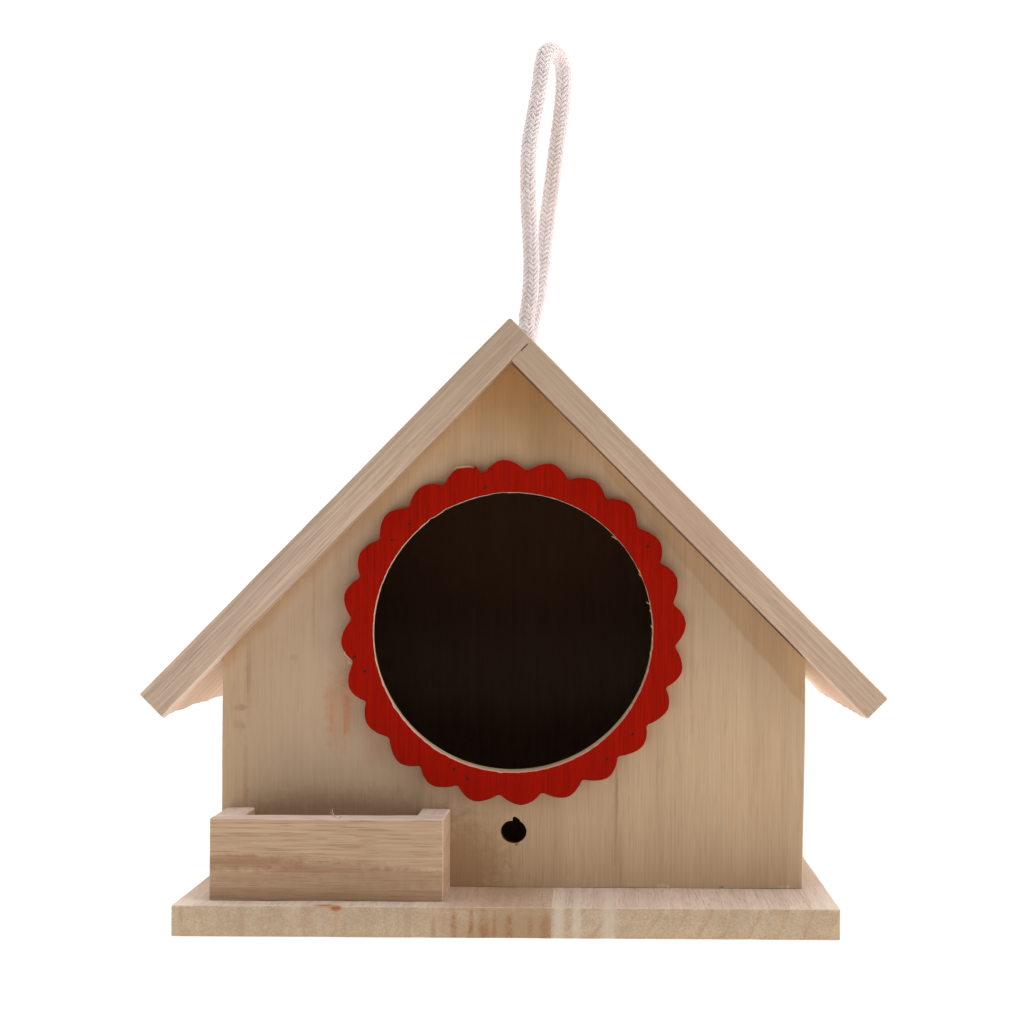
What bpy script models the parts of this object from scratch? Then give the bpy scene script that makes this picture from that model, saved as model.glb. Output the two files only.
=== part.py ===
"""Hanging wooden birdhouse: base, gabled box, feeder tray, scalloped ring and cord loop.

Metres, +Z up, the front faces -Y. The origin is the middle of the footprint, on the
ground. Every board, brad and cord is an object of its own, named as its part is named.
"""

import math

import bmesh
import bpy
from mathutils import Matrix, Vector

# ---------------------------------------------------------------- driving dimensions
GAP = 0.0003            # glue line, or air, between two neighbouring pieces
BOARD = 0.009           # stock that the walls, gables and feeder are sawn from
EASED_EDGE = 0.0005     # sanded corner of a board

BASE_WIDTH = 0.200
BASE_DEPTH = 0.1525
BASE_THICK = 0.0094
BASE_CENTRE_X = -0.00075
BASE_SEAM_X = 0.01275   # where the base's two planks are glued edge to edge

GABLE_LEFT_X = -0.09285
GABLE_RIGHT_X = 0.09215
GABLE_FRONT_Y = -0.0420
GABLE_BACK_Y = 0.06925  # rear face of the back gable

ROOF_LEFT_THICK = 0.0097
ROOF_RIGHT_THICK = 0.0092
ROOF_FRONT_Y = -0.04975
ROOF_BACK_Y = 0.07625
RIDGE_X = -0.00195
RIDGE_Z = 0.1895
EAVE_X = 0.11755        # outer corner of each eave
EAVE_Z = 0.0704

RING_X = -0.00057
RING_Z = 0.0903
RING_THICK = 0.0027
ENTRANCE_RADIUS = 0.0442
SCALLOPS = 24
SCALLOP_TIP_RADIUS = 0.0546
SCALLOP_VALLEY_RADIUS = 0.0513
SCALLOP_FIRST_TIP = math.radians(93)
SCALLOP_STEPS = 7       # points along one lobe
ENTRANCE_SIDES = 96     # facets of the entrance
HOLE_SIDES = 32         # facets of the perch hole and of the cord's hole

PERCH_X = -0.00014
PERCH_Z = 0.0271
PERCH_RADIUS = 0.0040

FEEDER_LEFT_X = -0.09115
FEEDER_RIGHT_X = -0.02025
FEEDER_FRONT_Y = -0.0680
FEEDER_TOP_Z = 0.0343

BRAD_HEAD_RADIUS = 0.0007
BRAD_HEAD_THICK = 0.0005
BRAD_RADIUS = 0.0005
BRAD_POINT = 0.0012
BRAD_SIDES = 8
BRAD_HOLE_MOUTH = 0.001  # how far a hole's cutter stands out of the wood
BRAD_SUNK = 0.0003      # how far a head lies under the wood's face
RING_BRAD = 0.0095
ROOF_BRAD = 0.018
BASE_BRAD = 0.018
# Each ring brad's angle, counter-clockwise from +X seen from the front, and radius.
RING_BRADS = (
    (33, 0.0505), (101, 0.0468), (134, 0.0475), (143, 0.0482), (189, 0.0507),
    (195, 0.0484), (247, 0.0469), (253, 0.0483), (307, 0.0497), (320, 0.0496),
)
ROOF_BRADS_FROM_RIDGE = (0.028, 0.075, 0.120)

CORD_DIAMETER = 0.006
CORD_STEP = 0.005
CORD_FINE_STEPS = 20    # points between two route points, before they are spaced out
CORD_HOLE_RADIUS = 0.0067
CORD_X = 0.00115
CORD_Y = 0.01325
# The cord's middle line: up through the roof, round the loop, and down again.
CORD_ROUTE = (
    (0.0011, 0.0101, 0.1710), (0.0011, 0.0101, 0.1810), (0.0010, 0.0101, 0.1905),
    (0.0009, 0.0099, 0.1970), (0.0018, 0.0094, 0.2035), (0.0024, 0.0085, 0.2130),
    (0.0021, 0.0076, 0.2235), (0.0014, 0.0068, 0.2355), (0.0012, 0.0063, 0.2475),
    (0.0017, 0.0062, 0.2570), (0.0030, 0.0064, 0.2650), (0.0044, 0.0069, 0.2730),
    (0.0052, 0.0073, 0.2787), (0.0057, 0.0078, 0.2832), (0.0067, 0.0094, 0.2883),
    (0.0091, 0.0132, 0.2905), (0.0116, 0.0171, 0.2886), (0.0127, 0.0188, 0.2845),
    (0.0128, 0.0193, 0.2795), (0.0124, 0.0199, 0.2735), (0.0114, 0.0202, 0.2645),
    (0.0101, 0.0203, 0.2550), (0.0089, 0.0200, 0.2450), (0.0076, 0.0195, 0.2340),
    (0.0064, 0.0187, 0.2225), (0.0052, 0.0178, 0.2120), (0.0040, 0.0170, 0.2040),
    (0.0024, 0.0165, 0.1970), (0.0014, 0.0164, 0.1905), (0.0012, 0.0164, 0.1810),
    (0.0012, 0.0164, 0.1710),
)
KNOT_X = -0.0006
KNOT_Z = 0.1615
KNOT_HALF_WIDTH = 0.0093
KNOT_HALF_DEPTH = 0.0102
KNOT_HALF_HEIGHT = 0.0090
TAIL_LENGTH = 0.017
TAIL_TOP_DROP = 0.004    # how far under the knot's middle a tail starts
TAIL_SPREAD = 0.62       # each tail's place off the middle, in cord diameters
TAIL_LEAN = math.radians(14)

PAULOWNIA = (0.62, 0.47, 0.31)
PALE_PAULOWNIA = (0.68, 0.53, 0.38)
GREY_PAULOWNIA = (0.54, 0.42, 0.29)
RED_STAIN = (0.42, 0.006, 0.004)
STEEL = (0.35, 0.34, 0.33)
COTTON = (0.83, 0.76, 0.71)


# ---------------------------------------------------------------- helpers
def clear_scene():
    for obj in list(bpy.data.objects):
        bpy.data.objects.remove(obj, do_unlink=True)


def collection(name, parent=None):
    made = bpy.data.collections.new(name)
    (parent or bpy.context.scene.collection).children.link(made)
    return made


def own_material(obj, colour, roughness=0.75, metallic=0.0):
    """Gives an object a Principled BSDF material of its own."""
    material = bpy.data.materials.new(obj.name)
    material.use_nodes = True
    shader = material.node_tree.nodes["Principled BSDF"]
    shader.inputs["Base Color"].default_value = (*colour, 1.0)
    shader.inputs["Roughness"].default_value = roughness
    shader.inputs["Metallic"].default_value = metallic
    obj.data.materials.clear()
    obj.data.materials.append(material)


def mesh_object(name, mesh, holder):
    obj = bpy.data.objects.new(name, mesh)
    holder.objects.link(obj)
    return obj


def curve_to_mesh(obj, holder):
    """Replaces a curve by a mesh of its own name, with its caps welded to its sides."""
    bpy.context.view_layer.update()
    evaluated = obj.evaluated_get(bpy.context.evaluated_depsgraph_get())
    mesh = bpy.data.meshes.new_from_object(evaluated)
    work = bmesh.new()
    work.from_mesh(mesh)
    bmesh.ops.remove_doubles(work, verts=work.verts, dist=0.00001)
    work.to_mesh(mesh)
    work.free()
    name = obj.name
    place = obj.matrix_world.copy()
    bpy.data.objects.remove(obj, do_unlink=True)
    solid = mesh_object(name, mesh, holder)
    solid.matrix_world = place
    return solid


def outline_board(name, outlines, front_y, back_y, holder):
    """A board sawn to closed outlines of (x, z) points, from front_y back to back_y."""
    curve = bpy.data.curves.new(name, "CURVE")
    curve.dimensions = "2D"
    curve.fill_mode = "BOTH"
    curve.extrude = (back_y - front_y) / 2
    for points in outlines:
        spline = curve.splines.new("POLY")
        spline.points.add(len(points) - 1)
        for point, (x, z) in zip(spline.points, points):
            point.co = (x, z, 0, 1)
        spline.use_cyclic_u = True
    obj = bpy.data.objects.new(name, curve)
    holder.objects.link(obj)
    obj.rotation_euler = (math.pi / 2, 0, 0)
    obj.location = (0, (front_y + back_y) / 2, 0)
    return curve_to_mesh(obj, holder)


def box_board(name, low, high, holder):
    """A plain board between its lowest and its highest corner."""
    size = Vector(high) - Vector(low)
    work = bmesh.new()
    bmesh.ops.create_cube(work, size=1, matrix=Matrix.Diagonal((*size, 1)))
    mesh = bpy.data.meshes.new(name)
    work.to_mesh(mesh)
    work.free()
    obj = mesh_object(name, mesh, holder)
    obj.location = (Vector(low) + Vector(high)) / 2
    return obj


def ease_edges(obj, width=EASED_EDGE, segments=2):
    bevel = obj.modifiers.new("eased edges", "BEVEL")
    bevel.width = width
    bevel.segments = segments
    bevel.limit_method = "ANGLE"
    bevel.angle_limit = math.radians(35)


def cut(obj, cutters):
    """Takes every cutter of a collection out of an object."""
    boolean = obj.modifiers.new(cutters.name, "BOOLEAN")
    boolean.operation = "DIFFERENCE"
    boolean.solver = "EXACT"
    boolean.operand_type = "COLLECTION"
    boolean.collection = cutters


def as_cutter(obj):
    obj.hide_render = True
    obj.display_type = "WIRE"


def round_cutter(name, radius, length, middle, along, sides, holder):
    """A cylinder that drills a hole, centred on middle, along a direction."""
    work = bmesh.new()
    bmesh.ops.create_cone(
        work, cap_ends=True, segments=sides, radius1=radius, radius2=radius, depth=length
    )
    mesh = bpy.data.meshes.new(name)
    work.to_mesh(mesh)
    work.free()
    obj = mesh_object(name, mesh, holder)
    obj.location = middle
    obj.rotation_euler = Vector(along).to_track_quat("Z", "Y").to_euler()
    as_cutter(obj)
    return obj


def turned(name, profile, steps, holder):
    """A turned piece from its profile of (radius, height) points, top to bottom."""
    mesh = bpy.data.meshes.new(name)
    edges = [(i, i + 1) for i in range(len(profile) - 1)]
    mesh.from_pydata([(radius, 0, height) for radius, height in profile], edges, [])
    obj = mesh_object(name, mesh, holder)
    screw = obj.modifiers.new("turned", "SCREW")
    screw.steps = steps
    screw.render_steps = steps
    screw.use_merge_vertices = True
    screw.merge_threshold = 0.00001
    screw.use_smooth_shade = False
    return obj


def brad_profile(length, clearance=0.0):
    """A brad from its head down to its point, or the hole it sits in."""
    head = BRAD_HEAD_RADIUS + clearance
    shank = BRAD_RADIUS + clearance
    top = BRAD_HOLE_MOUTH if clearance else 0.0
    neck = -BRAD_HEAD_THICK - clearance
    shoulder = -length + BRAD_POINT - clearance
    end = -length - clearance
    return ((0, top), (head, top), (head, neck), (shank, neck), (shank, shoulder), (0, end))


def brad(name, head, outward, length, parts, holes):
    """A brad with its head just under the surface point head, and the cutter of its hole."""
    outward = Vector(outward).normalized()
    place = Vector(head) - outward * BRAD_SUNK
    turn = outward.to_track_quat("Z", "Y").to_euler()
    nail = turned(name, brad_profile(length), BRAD_SIDES, parts)
    hole = turned(name + "_hole", brad_profile(length, GAP), BRAD_SIDES, holes)
    for obj in (nail, hole):
        obj.location = place
        obj.rotation_euler = turn
    as_cutter(hole)
    own_material(nail, STEEL, roughness=0.45, metallic=1.0)


# ---------------------------------------------------------------- roof lines
class Slope:
    """One side of the roof, seen from the front: side is -1 on the left and 1 on the right."""

    def __init__(self, side, thick):
        self.thick = thick
        run = side * EAVE_X - RIDGE_X
        down = Vector((run, EAVE_Z - RIDGE_Z))
        self.length = down.length
        self.down = down.normalized()
        self.inward = Vector((-side * abs(self.down.y), -abs(self.down.x)))

    def point(self, along, depth):
        """The (x, z) point this far down the slope and this far under its outer face."""
        return Vector((RIDGE_X, RIDGE_Z)) + self.down * along + self.inward * depth

    def height_at(self, x, depth):
        """The z of the line that lies depth under the outer face, at x."""
        start = self.point(0, depth)
        return start.y + (x - start.x) * self.down.y / self.down.x


def crossing(one, one_depth, other, other_depth):
    """Where a line under one slope crosses a line under the other."""
    start = one.point(0, one_depth)
    target = other.point(0, other_depth)
    normal = other.inward
    along = (target - start).dot(normal) / one.down.dot(normal)
    return start + one.down * along


LEFT = Slope(-1, ROOF_LEFT_THICK)
RIGHT = Slope(1, ROOF_RIGHT_THICK)


# ---------------------------------------------------------------- parts
def make_base(parts, holes):
    """Two planks glued edge to edge; the grain runs from front to back."""
    left_x = BASE_CENTRE_X - BASE_WIDTH / 2
    right_x = BASE_CENTRE_X + BASE_WIDTH / 2
    edges = {
        "base_left_plank": (left_x, BASE_SEAM_X - GAP / 2),
        "base_right_plank": (BASE_SEAM_X + GAP / 2, right_x),
    }
    for name, (low_x, high_x) in edges.items():
        low = (low_x, -BASE_DEPTH / 2, 0)
        high = (high_x, BASE_DEPTH / 2, BASE_THICK)
        plank = box_board(name, low, high, parts)
        own_material(plank, PALE_PAULOWNIA)
        ease_edges(plank)
        cut(plank, holes)


def gable_outline():
    """The five corners of a gable, just under the roof and just over the base."""
    under_left = LEFT.thick + GAP
    under_right = RIGHT.thick + GAP
    bottom = BASE_THICK + GAP
    peak = crossing(LEFT, under_left, RIGHT, under_right)
    return [
        (GABLE_LEFT_X, bottom),
        (GABLE_RIGHT_X, bottom),
        (GABLE_RIGHT_X, RIGHT.height_at(GABLE_RIGHT_X, under_right)),
        (peak.x, peak.y),
        (GABLE_LEFT_X, LEFT.height_at(GABLE_LEFT_X, under_left)),
    ]


def make_gables(parts, front_holes, brad_holes):
    front = outline_board(
        "front_panel", [gable_outline()], GABLE_FRONT_Y, GABLE_FRONT_Y + BOARD, parts
    )
    back = outline_board(
        "back_panel", [gable_outline()], GABLE_BACK_Y - BOARD, GABLE_BACK_Y, parts
    )
    for panel in (front, back):
        own_material(panel, PAULOWNIA)
        ease_edges(panel)
        for holes in brad_holes:
            cut(panel, holes)
    cut(front, front_holes)


def make_walls(parts, brad_holes):
    """Side walls between the gables, their top edges planed to the roof's slope."""
    bottom = BASE_THICK + GAP
    sides = (
        ("left_wall", GABLE_LEFT_X, GABLE_LEFT_X + BOARD, LEFT),
        ("right_wall", GABLE_RIGHT_X - BOARD, GABLE_RIGHT_X, RIGHT),
    )
    for name, low_x, high_x, slope in sides:
        under = slope.thick + GAP
        outline = [
            (low_x, bottom),
            (high_x, bottom),
            (high_x, slope.height_at(high_x, under)),
            (low_x, slope.height_at(low_x, under)),
        ]
        front_y = GABLE_FRONT_Y + BOARD + GAP
        back_y = GABLE_BACK_Y - BOARD - GAP
        wall = outline_board(name, [outline], front_y, back_y, parts)
        own_material(wall, PAULOWNIA)
        ease_edges(wall)
        cut(wall, brad_holes)


def make_roof(parts, brad_holes, cord_hole):
    """The left board runs over the ridge, and the right one butts against its underside."""
    left_outline = [
        LEFT.point(LEFT.length, 0),
        LEFT.point(LEFT.length, LEFT.thick),
        crossing(RIGHT, 0, LEFT, LEFT.thick),
        LEFT.point(0, 0),
    ]
    joint = LEFT.thick + GAP
    right_outline = [
        crossing(RIGHT, 0, LEFT, joint),
        crossing(RIGHT, RIGHT.thick, LEFT, joint),
        RIGHT.point(RIGHT.length, RIGHT.thick),
        RIGHT.point(RIGHT.length, 0),
    ]
    for name, outline in (("roof_left", left_outline), ("roof_right", right_outline)):
        points = [tuple(point) for point in outline]
        board = outline_board(name, [points], ROOF_FRONT_Y, ROOF_BACK_Y, parts)
        own_material(board, GREY_PAULOWNIA)
        ease_edges(board)
        cut(board, brad_holes)
        cut(board, cord_hole)


def scallop_outline(steps):
    """Round lobes between valleys; each lobe is one arc through valley, tip and valley."""
    half_pitch = math.pi / SCALLOPS
    half_chord = SCALLOP_VALLEY_RADIUS * math.sin(half_pitch)
    chord_distance = SCALLOP_VALLEY_RADIUS * math.cos(half_pitch)
    rise = SCALLOP_TIP_RADIUS - chord_distance
    lobe_radius = (half_chord ** 2 + rise ** 2) / (2 * rise)
    lobe_centre = SCALLOP_TIP_RADIUS - lobe_radius
    half_sweep = math.atan2(half_chord, chord_distance - lobe_centre)
    points = []
    for lobe in range(SCALLOPS):
        middle = SCALLOP_FIRST_TIP + lobe * 2 * half_pitch
        for step in range(steps):
            turn = half_sweep * (2 * step / steps - 1)
            x = lobe_centre + lobe_radius * math.cos(turn)
            z = lobe_radius * math.sin(turn)
            points.append((
                RING_X + x * math.cos(middle) - z * math.sin(middle),
                RING_Z + x * math.sin(middle) + z * math.cos(middle),
            ))
    return points


def circle_outline(radius, sides):
    return [
        (
            RING_X + radius * math.cos(2 * math.pi * side / sides),
            RING_Z + radius * math.sin(2 * math.pi * side / sides),
        )
        for side in range(sides)
    ]


def make_ring(parts, brad_holes):
    """The scalloped ring, glued and nailed round the entrance."""
    outlines = [
        scallop_outline(SCALLOP_STEPS),
        circle_outline(ENTRANCE_RADIUS, ENTRANCE_SIDES),
    ]
    back_y = GABLE_FRONT_Y - GAP
    ring = outline_board("entrance_ring", outlines, back_y - RING_THICK, back_y, parts)
    own_material(ring, RED_STAIN, roughness=0.6)
    cut(ring, brad_holes)


def make_feeder(parts, brad_holes):
    """An open tray in front of the gable: a front board that covers two short ends."""
    bottom = BASE_THICK + GAP
    inner_y = FEEDER_FRONT_Y + BOARD
    boards = {
        "feeder_front": (
            (FEEDER_LEFT_X, FEEDER_FRONT_Y, bottom),
            (FEEDER_RIGHT_X, inner_y, FEEDER_TOP_Z),
        ),
        "feeder_left_end": (
            (FEEDER_LEFT_X, inner_y + GAP, bottom),
            (FEEDER_LEFT_X + BOARD, GABLE_FRONT_Y - GAP, FEEDER_TOP_Z),
        ),
        "feeder_right_end": (
            (FEEDER_RIGHT_X - BOARD, inner_y + GAP, bottom),
            (FEEDER_RIGHT_X, GABLE_FRONT_Y - GAP, FEEDER_TOP_Z),
        ),
    }
    for name, (low, high) in boards.items():
        board = box_board(name, low, high, parts)
        own_material(board, PALE_PAULOWNIA)
        ease_edges(board)
        if name == "feeder_front":
            cut(board, brad_holes)


def make_ring_brads(parts, holes):
    front_y = GABLE_FRONT_Y - GAP - RING_THICK
    for number, (angle, radius) in enumerate(RING_BRADS, 1):
        turn = math.radians(angle)
        head = (RING_X + radius * math.cos(turn), front_y, RING_Z + radius * math.sin(turn))
        brad(f"ring_brad_{number:02d}", head, (0, -1, 0), RING_BRAD, parts, holes)


def make_roof_brads(parts, holes):
    rows = (
        ("front", GABLE_FRONT_Y + BOARD / 2),
        ("back", GABLE_BACK_Y - BOARD / 2),
    )
    for side, slope in (("left", LEFT), ("right", RIGHT)):
        outward = (-slope.inward.x, 0, -slope.inward.y)
        for row, y in rows:
            for number, along in enumerate(ROOF_BRADS_FROM_RIDGE, 1):
                x, z = slope.point(along, 0)
                name = f"roof_brad_{side}_{row}_{number}"
                brad(name, (x, y, z), outward, ROOF_BRAD, parts, holes)


def make_base_brads(parts, holes):
    """Brads driven up through the base into the box and the feeder."""
    gable_front = GABLE_FRONT_Y + BOARD / 2
    gable_back = GABLE_BACK_Y - BOARD / 2
    left = GABLE_LEFT_X + BOARD / 2
    right = GABLE_RIGHT_X - BOARD / 2
    feeder = FEEDER_FRONT_Y + BOARD / 2
    places = (
        ("front_left", -0.060, gable_front),
        ("front_right", 0.060, gable_front),
        ("back_left", -0.060, gable_back),
        ("back_right", 0.060, gable_back),
        ("left_1", left, -0.010),
        ("left_2", left, 0.037),
        ("right_1", right, -0.010),
        ("right_2", right, 0.037),
        ("feeder_left", FEEDER_LEFT_X + 0.012, feeder),
        ("feeder_right", FEEDER_RIGHT_X - 0.012, feeder),
    )
    for name, x, y in places:
        brad(f"base_brad_{name}", (x, y, 0), (0, 0, -1), BASE_BRAD, parts, holes)


def smooth_points(route, step):
    """Points about a step apart on a Catmull-Rom curve through the route's own points."""
    route = [Vector(point) for point in route]
    ends = [2 * route[0] - route[1]] + route + [2 * route[-1] - route[-2]]
    fine = []
    for a, b, c, d in zip(ends, ends[1:], ends[2:], ends[3:]):
        for part in range(CORD_FINE_STEPS):
            t = part / CORD_FINE_STEPS
            bend = (2 * a - 5 * b + 4 * c - d) * t ** 2 + (3 * b - a - 3 * c + d) * t ** 3
            fine.append(b + ((c - a) * t + bend) / 2)
    fine.append(route[-1])
    spans = [(q - p).length for p, q in zip(fine, fine[1:])]
    count = round(sum(spans) / step)
    even = [fine[0]]
    passed = 0.0
    for p, span, q in zip(fine, spans, fine[1:]):
        while len(even) < count and passed + span >= len(even) * sum(spans) / count:
            share = (len(even) * sum(spans) / count - passed) / span
            even.append(p.lerp(q, share))
        passed += span
    return even + [fine[-1]]


def make_cord(parts):
    points = smooth_points(CORD_ROUTE, CORD_STEP)
    curve = bpy.data.curves.new("hanging_cord", "CURVE")
    curve.dimensions = "3D"
    curve.bevel_depth = CORD_DIAMETER / 2
    curve.bevel_resolution = 2
    curve.use_fill_caps = True
    spline = curve.splines.new("POLY")
    spline.points.add(len(points) - 1)
    for point, place in zip(spline.points, points):
        point.co = (*place, 1)
    cord = bpy.data.objects.new("hanging_cord", curve)
    parts.objects.link(cord)
    own_material(cord, COTTON, roughness=0.9)


def make_knot(parts, tails):
    """The overhand knot under the ridge, with the cord's two short tails under it."""
    work = bmesh.new()
    bmesh.ops.create_uvsphere(work, u_segments=16, v_segments=10, radius=1)
    half_sizes = (KNOT_HALF_WIDTH, KNOT_HALF_DEPTH, KNOT_HALF_HEIGHT)
    bmesh.ops.scale(work, vec=half_sizes, verts=work.verts)
    mesh = bpy.data.meshes.new("cord_knot")
    work.to_mesh(mesh)
    work.free()
    mesh.shade_smooth()
    knot = mesh_object("cord_knot", mesh, parts)
    knot.location = (KNOT_X, CORD_Y, KNOT_Z)
    own_material(knot, COTTON, roughness=0.9)
    for side in (-1, 1):
        along = Vector((0, side * math.sin(TAIL_LEAN), -math.cos(TAIL_LEAN)))
        y = CORD_Y + side * CORD_DIAMETER * TAIL_SPREAD
        top = Vector((KNOT_X, y, KNOT_Z - TAIL_TOP_DROP))
        middle = top + along * TAIL_LENGTH / 2
        name = f"cord_tail_{side}"
        round_cutter(name, CORD_DIAMETER / 2, TAIL_LENGTH, middle, along, 10, tails)
    union = knot.modifiers.new("tails", "BOOLEAN")
    union.operation = "UNION"
    union.solver = "EXACT"
    union.operand_type = "COLLECTION"
    union.collection = tails


def main():
    clear_scene()
    parts = collection("birdhouse")
    cutters = collection("cutters")
    ring_brad_holes = collection("ring_brad_holes", cutters)
    roof_brad_holes = collection("roof_brad_holes", cutters)
    base_brad_holes = collection("base_brad_holes", cutters)
    front_holes = collection("front_holes", cutters)
    cord_hole = collection("cord_hole", cutters)
    tails = collection("cord_tails", cutters)

    make_ring_brads(parts, ring_brad_holes)
    make_roof_brads(parts, roof_brad_holes)
    make_base_brads(parts, base_brad_holes)
    middle_y = GABLE_FRONT_Y + BOARD / 2
    entrance = (RING_X, middle_y, RING_Z)
    perch = (PERCH_X, middle_y, PERCH_Z)
    through = BOARD * 2
    along_y = (0, -1, 0)
    round_cutter(
        "entrance", ENTRANCE_RADIUS, through, entrance, along_y, ENTRANCE_SIDES, front_holes
    )
    round_cutter("perch", PERCH_RADIUS, through, perch, along_y, HOLE_SIDES, front_holes)
    cord_middle = (CORD_X, CORD_Y, RIDGE_Z - LEFT.thick)
    deep = LEFT.thick * 5
    upright = (0, 0, 1)
    round_cutter(
        "cord", CORD_HOLE_RADIUS, deep, cord_middle, upright, HOLE_SIDES, cord_hole
    )

    make_base(parts, base_brad_holes)
    make_gables(parts, front_holes, (ring_brad_holes, roof_brad_holes, base_brad_holes))
    make_walls(parts, base_brad_holes)
    make_roof(parts, roof_brad_holes, cord_hole)
    make_ring(parts, ring_brad_holes)
    make_feeder(parts, base_brad_holes)
    make_cord(parts)
    make_knot(parts, tails)


main()
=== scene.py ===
# %% [markdown]
# # A hanging wooden birdhouse
#
# This lesson dresses a packed birdhouse frame. The frame gives every board, brad and cord its
# size and place. Here each of them becomes a finished piece: sawn and sanded boards with grain,
# a stained scalloped ring, a knitted cotton cord, and small steel brads.
#
# The frame is loaded first, and its box is kept.

# %% Load the frame
import math
import random

import bmesh
import bpy
from mathutils import Matrix, Quaternion, Vector, noise
from mathutils.kdtree import KDTree


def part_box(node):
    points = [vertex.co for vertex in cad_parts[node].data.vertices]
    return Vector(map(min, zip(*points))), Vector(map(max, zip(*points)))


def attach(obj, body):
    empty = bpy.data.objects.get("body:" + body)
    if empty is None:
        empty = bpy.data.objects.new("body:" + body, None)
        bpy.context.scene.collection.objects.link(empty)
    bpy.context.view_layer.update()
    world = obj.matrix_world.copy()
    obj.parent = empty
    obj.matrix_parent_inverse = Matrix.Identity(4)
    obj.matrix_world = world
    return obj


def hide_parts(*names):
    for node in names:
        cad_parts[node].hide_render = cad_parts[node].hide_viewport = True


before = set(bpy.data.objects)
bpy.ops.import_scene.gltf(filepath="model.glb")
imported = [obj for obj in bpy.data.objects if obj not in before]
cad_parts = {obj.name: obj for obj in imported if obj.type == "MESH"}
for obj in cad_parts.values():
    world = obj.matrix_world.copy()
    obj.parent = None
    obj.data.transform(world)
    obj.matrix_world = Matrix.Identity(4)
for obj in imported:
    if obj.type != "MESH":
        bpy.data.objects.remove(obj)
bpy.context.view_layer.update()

# %% [markdown]
# ## Camera
#
# The camera stands a little right of the middle and above the entrance, and looks straight at
# the front. A real camera that stands off to one side would be turned, and its vertical edges
# would lean. A shifted lens keeps the camera level and moves the picture instead, which is how
# buildings are photographed, and it is why the camera here has a shift and almost no turn.

# %% Camera
CAMERA_PLACE = (0.02673, -0.62625, 0.1112)
CAMERA_LENS = 64.72
CAMERA_SHIFT = (-0.0859, 0.0537)
CAMERA_ROLL = math.radians(-0.35)

bpy.ops.object.select_all(action="DESELECT")
bpy.ops.object.camera_add(location=CAMERA_PLACE, rotation=(math.pi / 2, CAMERA_ROLL, 0))
camera = bpy.context.object
camera.data.lens = CAMERA_LENS
camera.data.sensor_width = 36
camera.data.shift_x, camera.data.shift_y = CAMERA_SHIFT
bpy.context.scene.camera = camera
print("camera:", camera.data.lens, "mm at", CAMERA_PLACE)

# %% [markdown]
# ## Node helpers
#
# Every finish below is built from nodes. Three small helpers keep those cells short: one adds a
# node, one does a sum, and one mixes two colours. Each takes a number or another node's socket.

# %% Node helpers
def add_node(tree, kind, **settings):
    made = tree.nodes.new("ShaderNode" + kind)
    for name, value in settings.items():
        setattr(made, name, value)
    return made


def feed(tree, socket, value):
    """Joins another node's socket to this one, or sets it to a plain value."""
    if isinstance(value, bpy.types.NodeSocket):
        tree.links.new(value, socket)
    else:
        socket.default_value = value


def reckon(tree, operation, *values, clamp=False):
    made = add_node(tree, "Math", operation=operation, use_clamp=clamp)
    for socket, value in zip(made.inputs, values):
        feed(tree, socket, value)
    return made.outputs[0]


def reckon_vector(tree, operation, *values):
    made = add_node(tree, "VectorMath", operation=operation)
    for socket, value in zip(made.inputs, values):
        feed(tree, socket, value)
    return made.outputs["Value" if operation in ("LENGTH", "DOT_PRODUCT") else "Vector"]


def fade(tree, value, start, end, low=0.0, high=1.0):
    """Low up to start, high from end on, and a smooth change between them."""
    made = add_node(tree, "MapRange", interpolation_type="SMOOTHSTEP")
    for name, number in (("Value", value), ("From Min", start), ("From Max", end),
                         ("To Min", low), ("To Max", high)):
        feed(tree, made.inputs[name], number)
    return made.outputs["Result"]


def mix_colours(tree, factor, one, other, how="MIX"):
    made = add_node(tree, "Mix", data_type="RGBA", blend_type=how)
    feed(tree, made.inputs[0], factor)
    feed(tree, made.inputs[6], one)
    feed(tree, made.inputs[7], other)
    return made.outputs[2]


def speckle(tree, vector, scale, detail=0.0, roughness=0.5):
    made = add_node(tree, "TexNoise", noise_dimensions="3D")
    feed(tree, made.inputs["Vector"], vector)
    made.inputs["Scale"].default_value = scale
    made.inputs["Detail"].default_value = detail
    made.inputs["Roughness"].default_value = roughness
    return made


def new_material(name):
    """A material with only its Principled shader and its output, and the tree that holds them."""
    material = bpy.data.materials.new(name)
    material.use_nodes = True
    tree = material.node_tree
    return material, tree, tree.nodes["Principled BSDF"]


print("node helpers ready")

# %% [markdown]
# ## Studio
#
# A white product picture is lit by what surrounds the object: white walls at the sides and
# behind, a white table under it, and a darker room on the camera's side. That darker side helps
# keep the inside of the house deep brown, because only light from straight ahead can reach the
# back wall through the entrance; the inside faces also carry painted shade. The world here is
# such a room: it gets its brightness from the direction a ray leaves in. What the camera sees
# directly stays plain white.

# %% World
ROOM_FRONT = 0.08
ROOM_SIDES = 0.95
ROOM_BACK = 1.10
ROOM_WHITE = (1.0, 0.985, 0.97, 1)

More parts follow.
